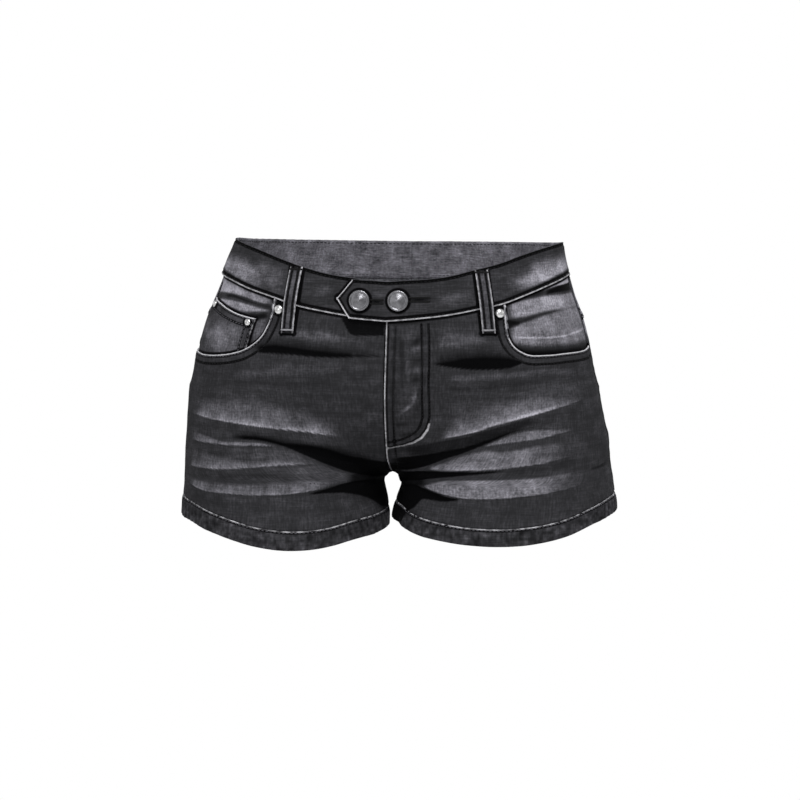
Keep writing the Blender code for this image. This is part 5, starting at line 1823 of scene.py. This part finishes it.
def zip_tape(tree):
    """Woven polyester tape of a zip: close, even and matt black, with fine cross ribs."""
    weave = node(tree, "UVMap", uv_map="weave")
    across = node(tree, "Mapping", {"Vector": weave, "Rotation": (0, 0, math.pi / 2)})
    ribs = node(tree, "TexWave", {"Vector": across, "Scale": WAVE_PERIOD / TAPE_RIB}, out="Fac")
    body = node(tree, "Mix", {0: ribs, 6: linear("#1B1B1D"), 7: linear("#2E2E31")}, **COLOUR_MIX)
    bump = node(tree, "Bump", {"Height": ribs, "Strength": 0.4, "Distance": 0.0002})
    return node(tree, "BsdfPrincipled", {"Base Color": body, "Normal": bump, "Roughness": 0.85})


SEEN_WHITE, ROOM_LIGHT = 1, 0.4


def studio_floor(tree):
    """Seamless matt paper, lit to white where it is seen: pale and even, with a faint fibre mottle."""
    place = node(tree, "TexCoord", out="Object")
    # paper fibre clouds about 4 mm across
    fibres = node(tree, "TexNoise", {"Vector": place, "Scale": 250, "Detail": 3})
    body = node(tree, "Mix", {0: fibres, 6: linear("#F4F4F4"), 7: linear("#FAFAFA")}, **COLOUR_MIX)
    paper = node(tree, "BsdfPrincipled", {"Base Color": body, "Roughness": 0.95})
    seen = node(tree, "LightPath", out="Is Camera Ray")
    white = node(tree, "Emission", {"Strength": SEEN_WHITE})
    return node(tree, "MixShader", (seen, paper, white))


# ---- metal ----
# A jeans button: shank, rolled rim, sunk face with a low dome. Radius, then height.
BUTTON_PROFILE = (
    (0, 0), (4.6, 0), (4.6, 0.9), (8.2, 0.9), (8.8, 1.15), (9, 1.6), (8.9, 2.1), (8.5, 2.45),
    (8, 2.55), (7.5, 2.4), (7.1, 2.05), (6.8, 1.8), (6.2, 1.95), (3.5, 2.85), (1.2, 3.6),
    (0.5, 3.75), (0, 3.78),
)
RIVET_PROFILE = (
    (0, 0), (4, 0), (4.1, 0.35), (3.95, 0.8), (3.5, 1.35), (2.8, 1.85), (2, 2.25), (1.1, 2.5),
    (0.5, 2.57), (0, 2.58),
)
BUTTON_STEPS, RIVET_STEPS, SAME_POINT = 64, 40, 0.01


def turned_metal(stud, profile, steps, material):
    """A turned piece in place of its plain solid, its axis along the cloth's outward way."""
    mesh = bmesh.new()
    ring = [mesh.verts.new((radius * stud.size, 0, high * stud.size)) for radius, high in profile]
    edges = [mesh.edges.new(pair) for pair in zip(ring, ring[1:])]
    bmesh.ops.spin(mesh, geom=ring + edges, axis=(0, 0, 1), cent=(0, 0, 0), angle=math.tau, steps=steps,
        use_merge=True)
    bmesh.ops.remove_doubles(mesh, verts=mesh.verts[:], dist=SAME_POINT)
    bmesh.ops.recalc_face_normals(mesh, faces=mesh.faces[:])
    if mesh.calc_volume(signed=True) < 0:
        bmesh.ops.reverse_faces(mesh, faces=mesh.faces[:])
    point, lead = on_face(stud.x, stud.z, FRONT)
    seat = Vector(point + lead * (stud.seat + SEAM_GAP))
    turn = Vector(lead).to_track_quat("Z", "Y").to_matrix()
    bmesh.ops.rotate(mesh, verts=mesh.verts[:], cent=(0, 0, 0), matrix=turn)
    bmesh.ops.translate(mesh, verts=mesh.verts[:], vec=seat)
    bmesh.ops.scale(mesh, verts=mesh.verts[:], vec=(MM, MM, MM))
    name = stud.node + "_metal"
    data = mesh_data(name, mesh)
    data.shade_smooth()
    data.materials.append(material)
    thing = add_piece(name, data)
    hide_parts(stud.node)
    return thing


def bright_steel():
    rivets = bpy.context.scene.shorts_colours.rivets
    return material_of("nickel-plated steel, bright", aged_steel, rivets, 0.26, 0.1)


# ---- settings ----
def length(name, description, default, smallest, largest):
    """A length setting, in metres."""
    return bpy.props.FloatProperty(name=name, description=description, default=default, min=smallest,
        max=largest, precision=4, subtype="DISTANCE", unit="LENGTH")


def colour(name, description, default):
    """A colour setting, its default an sRGB hex colour."""
    return bpy.props.FloatVectorProperty(name=name, description=description, default=linear(default)[:3],
        min=0, max=1, subtype="COLOR")


class ShortsSizes(bpy.types.PropertyGroup):
    """Sizes of the sewing that a maker may change."""

    stitch_length: length("Stitch length", "Length of one topstitch", 0.003, 0.001, 0.008)
    stitch_gap: length("Stitch gap", "Cloth left between one topstitch and the next", 0.0006, 0.0001,
        0.004)
    thread_width: length("Thread width", "Width of the topstitching thread", 0.0007, 0.0003, 0.002)


class ShortsColours(bpy.types.PropertyGroup):
    """Colours of the cloth, thread and metal."""

    dark: colour("Denim", "The black denim where it isn't worn", "#2B2B2D")
    # the pale colour: the wash and the sanding, and on the hips a painted highlight as well
    faded_and_highlight: colour("Faded denim", "Where the wash and the sanding have bleached it", "#B9B7C1")
    rubbed: colour("Rubbed edges", "The weft where a turned edge is worn through", "#D6D5DA")
    # painted shade: the near black that creases, grooves and rims beside pieces lying over the cloth are
    # darkened towards; in the creases it is also dye that the wash left dark
    crease: colour("Creases", "Deep in a crease, where the wash never reached", "#030304")
    inside: colour("Inside", "The black warp that shows on the inner face", "#4A4A4E")
    inside_weft: colour("Inside weft", "The pale weft that covers the inner face", "#8C8C92")
    thread_pale: colour("Pale thread", "The bar tacks at the feet of the loops", "#A9A8AD")
    thread_grey: colour("Grey thread", "Rows beside the mouths, on the hems and the back", "#5E5D63")
    thread_dark: colour("Dark thread", "Thread in the denim's own colour", "#0E0E0F")
    buttons: colour("Buttons", "The buttons' plated steel", "#8F8F93")
    rivets: colour("Rivets", "The rivets' brighter plated steel", "#F2F2F2")


# ---- operators, one for each group of like pieces ----
# The flat size of each kind of piece in metres, how much of that rectangle it fills, how it is
# held, and its thickness in millimetres.
Cut = namedtuple("Cut", "width length share held thick")
CUTS = {
    "front": Cut(0.245, 0.235, 0.72, "hung", PANEL_THICK),
    "back": Cut(0.255, 0.19, 0.85, "hung", PANEL_THICK),
    "yoke": Cut(0.24, 0.075, 0.68, "hung", PANEL_THICK),
    "waistband_right": Cut(0.475, 0.074, 1, "folded", BAND_THICK),
    "waistband_left": Cut(0.5, 0.074, 0.98, "folded", BAND_THICK),
    "hem": Cut(0.65, 0.038, 1, "folded", HEM_THICK),
    "pocket_facing": Cut(0.155, 0.08, 0.75, "hung", LAYER_THICK),
    "coin_pocket": Cut(0.095, 0.055, 0.8, "laid", LAYER_THICK),
    "back_pocket": Cut(0.125, 0.096, 0.88, "laid", LAYER_THICK),
    "fly_shield": Cut(0.034, 0.11, 1, "hung", LAYER_THICK),
    "fly_zip": Cut(0.019, 0.098, 1, "hung", LAYER_THICK),
    "belt_loop": Cut(0.011, 0.062, 1, "stretched", LOOP_THICKNESS - 0.1),
}


def sew_cloth(node_name, kind, grid, place, lines, tone, *rests_on):
    """Makes one sheet with its topstitching, of its cut's thickness, and hides the plain part that it
    replaces.
    """
    cut = CUTS[kind]
    thing = make_cloth("cloth_" + node_name, grid, place, lines, tone, cut.thick)
    threads = topstitch(thing.name, lines)
    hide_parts(node_name)
    return thing


class SHORTS_OT_fronts(bpy.types.Operator):
    """Sews the two front panels with their pocket mouths and fly stitching"""

    bl_idname = "shorts.fronts"
    bl_label = "Front panels"

    def execute(self, context):
        for name, side in SIDES.items():
            tone = tone_of(FRONT_AREAS, FLY_SPOTS if side > 0 else ())
            sew_cloth("front_" + name, "front", FRONT_GRID, partial(front_place, side), front_lines(side),
                tone, "waistband_" + name)
        return {"FINISHED"}


class SHORTS_OT_backs(bpy.types.Operator):
    """Sews the two back panels and their yokes"""

    bl_idname = "shorts.backs"
    bl_label = "Back panels and yokes"

    def execute(self, context):
        tone = tone_of(FRONT_AREAS + SIDE_AREAS)
        for name, side in SIDES.items():
            sew_cloth("yoke_" + name, "yoke", YOKE_GRID, partial(yoke_place, side), yoke_lines(side),
                tone, "waistband_" + name)
            sew_cloth("back_" + name, "back", BACK_GRID, partial(back_place, side), back_lines(side),
                tone, "yoke_" + name)
        return {"FINISHED"}


class SHORTS_OT_waistband(bpy.types.Operator):
    """Sews the folded waistband, the left half with its pointed end over the right"""

    bl_idname = "shorts.waistband"
    bl_label = "Waistband"

    def execute(self, context):
        right, left = "waistband_right", "waistband_left"
        around = sum(BAND_ROWS)
        tone = tone_of(BAND_AREAS, BAND_SPOTS)
        sew_cloth(right, right, (RIGHT_COLUMNS, around), under_place, under_lines(), tone)
        sew_cloth(left, left, (LEFT_COLUMNS, around), over_place, over_lines(), tone, right)
        for number, (first, last, z) in enumerate(BUTTONHOLES, 1):
            for rise, edge in ((HOLE_EDGE, "upper"), (-HOLE_EDGE, "lower")):
                laid = on_face(np.linspace(first, last, BAR_POINTS), z + rise, FRONT)
                bar_tack(f"buttonhole_{number}_{edge}", "cloth_" + left, laid, "dark")
        return {"FINISHED"}


class SHORTS_OT_hems(bpy.types.Operator):
    """Sews the doubled hems round both legs"""

    bl_idname = "shorts.hems"
    bl_label = "Hems"

    def execute(self, context):
        for name, side in SIDES.items():
            lines = hem_lines(side)
            sew_cloth("hem_" + name, "hem", (HEM_COLUMNS, sum(HEM_ROWS)), partial(hem_place, side), lines,
                partial(hem_tone, side, lines[0]), "front_" + name, "back_" + name)
        return {"FINISHED"}


class SHORTS_OT_pockets(bpy.types.Operator):
    """Sews the pocket facings, the coin pocket and the back pockets"""

    bl_idname = "shorts.pockets"
    bl_label = "Pockets"

    def execute(self, context):
        for name, side in SIDES.items():
            sew_cloth("pocket_facing_" + name, "pocket_facing", FACING_GRID, partial(facing_place, side),
                facing_lines(side), tone_of(FACING_AREAS), "waistband_" + name)
            sew_cloth("back_pocket_" + name, "back_pocket", PATCH_GRID, partial(patch_place, side),
                patch_lines(side), tone_of(()), "back_" + name)
        tone = tone_of((), COIN_SPOTS)
        name = "coin_pocket"
        sew_cloth(name, name, COIN_GRID, coin_place, coin_lines(), tone, "pocket_facing_right")
        return {"FINISHED"}


class SHORTS_OT_fly(bpy.types.Operator):
    """Sews the fly's shield and zip inside the front"""

    bl_idname = "shorts.fly"
    bl_label = "Fly shield and zip"

    def execute(self, context):
        shield = ("fly_shield", SHIELD_GRID, SHIELD_BOX, SHIELD_OUT, "waistband_left")
        tape = ("fly_zip", ZIP_GRID, ZIP_BOX, ZIP_OUT, "front_left")
        for name, grid, box, out, hung_from in (shield, tape):
            strip = sew_cloth(name, name, grid, partial(box_place, box, out), [], tone_of(()), hung_from)
        for face in (0, 1):
            strip.data.materials[face] = material_of("woven polyester tape", zip_tape)
        lay_zip(bright_steel())
        return {"FINISHED"}


class SHORTS_OT_loops(bpy.types.Operator):
    """Sews the five belt loops with their bar tacks"""

    bl_idname = "shorts.loops"
    bl_label = "Belt loops"

    def execute(self, context):
        for loop in LOOPS:
            name = "belt_loop_" + loop.name
            tone = partial(loop_tone, loop)
            sew_cloth(name, "belt_loop", LOOP_GRID, partial(loop_place, loop), loop_lines(loop), tone)
            for place, down, thread in LOOP_TACKS:
                x, z, _ = loop_at(loop, np.linspace(TACK_START, TACK_END, BAR_POINTS), down)
                laid = on_face(x, z, loop.facing)
                bar_tack(f"bar_tack_{place}_{loop.name}", "cloth_" + name, laid, thread)
        return {"FINISHED"}


class SHORTS_OT_metal(bpy.types.Operator):
    """Sets the two buttons and the four rivets"""

    bl_idname = "shorts.metal"
    bl_label = "Buttons and rivets"

    def execute(self, context):
        dull = context.scene.shorts_colours.buttons
        antiqued = material_of("nickel-plated steel, antiqued", aged_steel, dull, 0.3, 0.5)
        for stud in BUTTONS:
            turned_metal(stud, BUTTON_PROFILE, BUTTON_STEPS, antiqued)
        for stud in STUDS:
            turned_metal(stud, RIVET_PROFILE, RIVET_STEPS, bright_steel())
        return {"FINISHED"}


# ---- stage ----
# Turns and tilts are degrees, distances and sizes metres, lens and sensor millimetres, power watts.
VIEW_TURN, VIEW_TILT, VIEW_AWAY, VIEW_LENS, VIEW_SENSOR, VIEW_END = 6, 6, 2.4, 120, 36, 60
VIEW_AIM = (0, 0, -0.124)
FLOOR_LEVEL, FLOOR_RADIUS, FLOOR_SIDES = -0.95, 14, 96
Lamp = namedtuple("Lamp", "name turn tilt away size power")
LAMPS = (
    Lamp("key_softbox", 14, 50, 2.2, 0.8, 28),
    Lamp("front_fill", -24, 10, 2.8, 1.8, 7),
    Lamp("back_key", 165, 48, 2.4, 1.2, 22),
    Lamp("back_fill", 215, 15, 2.8, 1.8, 5),
    Lamp("side_fill_left", 90, 20, 2.8, 1.6, 4),
    Lamp("side_fill_right", 270, 20, 2.8, 1.6, 4),
)


def around(turn, tilt, away):
    """A place at an angle round and above the shorts: 0 is straight in front."""
    turn = math.radians(turn)
    tilt = math.radians(tilt)
    way = Vector((math.sin(turn) * math.cos(tilt), -math.cos(turn) * math.cos(tilt), math.sin(tilt)))
    return Vector(VIEW_AIM) + away * way


def aim(thing, place):
    """Puts a light or the camera at a place, turned to the shorts."""
    thing.location = place
    thing.rotation_euler = (place - Vector(VIEW_AIM)).to_track_quat("Z", "Y").to_euler()
    bpy.context.scene.collection.objects.link(thing)


class SHORTS_OT_stage(bpy.types.Operator):
    """Sets the floor, the soft lights and the camera"""

    bl_idname = "shorts.stage"
    bl_label = "Stage"

    def execute(self, context):
        mesh = bmesh.new()
        bmesh.ops.create_circle(mesh, cap_ends=True, segments=FLOOR_SIDES, radius=FLOOR_RADIUS)
        bmesh.ops.translate(mesh, verts=mesh.verts[:], vec=(0, 0, FLOOR_LEVEL))
        data = mesh_data("floor", mesh)
        data.materials.append(material_of("matt background paper", studio_floor))
        floor = bpy.data.objects.new("floor", data)
        context.scene.collection.objects.link(floor)
        world = bpy.data.worlds.new("white studio")
        world.use_nodes = True
        tree = world.node_tree
        seen = node(tree, "LightPath", out="Is Camera Ray")
        light = node(tree, "Math", (seen, SEEN_WHITE - ROOM_LIGHT, ROOM_LIGHT), **MULTIPLY_ADD)
        tree.nodes["Background"].inputs["Color"].default_value = (1, 1, 1, 1)
        tree.links.new(light, tree.nodes["Background"].inputs["Strength"])
        context.scene.world = world
        context.scene.view_settings.view_transform = "Standard"
        for lamp in LAMPS:
            glow = bpy.data.lights.new(lamp.name, "AREA")
            glow.shape = "DISK"
            glow.size = lamp.size
            glow.energy = lamp.power
            aim(bpy.data.objects.new(lamp.name, glow), around(lamp.turn, lamp.tilt, lamp.away))
        lens = bpy.data.cameras.new("camera")
        lens.lens = VIEW_LENS
        lens.sensor_width = VIEW_SENSOR
        lens.clip_end = VIEW_END
        camera = bpy.data.objects.new("camera", lens)
        aim(camera, around(VIEW_TURN, VIEW_TILT, VIEW_AWAY))
        context.scene.camera = camera
        return {"FINISHED"}


class SHORTS_PT_panel(bpy.types.Panel):
    """Lists the steps that sew the shorts"""

    bl_idname = "SHORTS_PT_panel"
    bl_label = "Shorts"
    bl_space_type = "VIEW_3D"
    bl_region_type = "UI"
    bl_category = "Shorts"

    def draw(self, context):
        for settings in (context.scene.shorts_sizes, context.scene.shorts_colours):
            for name in settings.__annotations__:
                self.layout.prop(settings, name)
        for operator in OPERATORS:
            self.layout.operator(operator.bl_idname)


SETTINGS = (ShortsSizes, ShortsColours)
OPERATORS = (
    SHORTS_OT_stage,
    SHORTS_OT_fronts,
    SHORTS_OT_backs,
    SHORTS_OT_waistband,
    SHORTS_OT_hems,
    SHORTS_OT_pockets,
    SHORTS_OT_fly,
    SHORTS_OT_loops,
    SHORTS_OT_metal,
)


def register():
    for each in SETTINGS + OPERATORS + (SHORTS_PT_panel,):
        bpy.utils.register_class(each)
    bpy.types.Scene.shorts_sizes = bpy.props.PointerProperty(type=ShortsSizes)
    bpy.types.Scene.shorts_colours = bpy.props.PointerProperty(type=ShortsColours)


def unregister():
    del bpy.types.Scene.shorts_colours
    del bpy.types.Scene.shorts_sizes
    for each in reversed(SETTINGS + OPERATORS + (SHORTS_PT_panel,)):
        bpy.utils.unregister_class(each)


def main():
    register()
    for operator in OPERATORS:
        getattr(bpy.ops.shorts, operator.bl_idname.split(".")[1])()


if __name__ == "__main__":
    main()
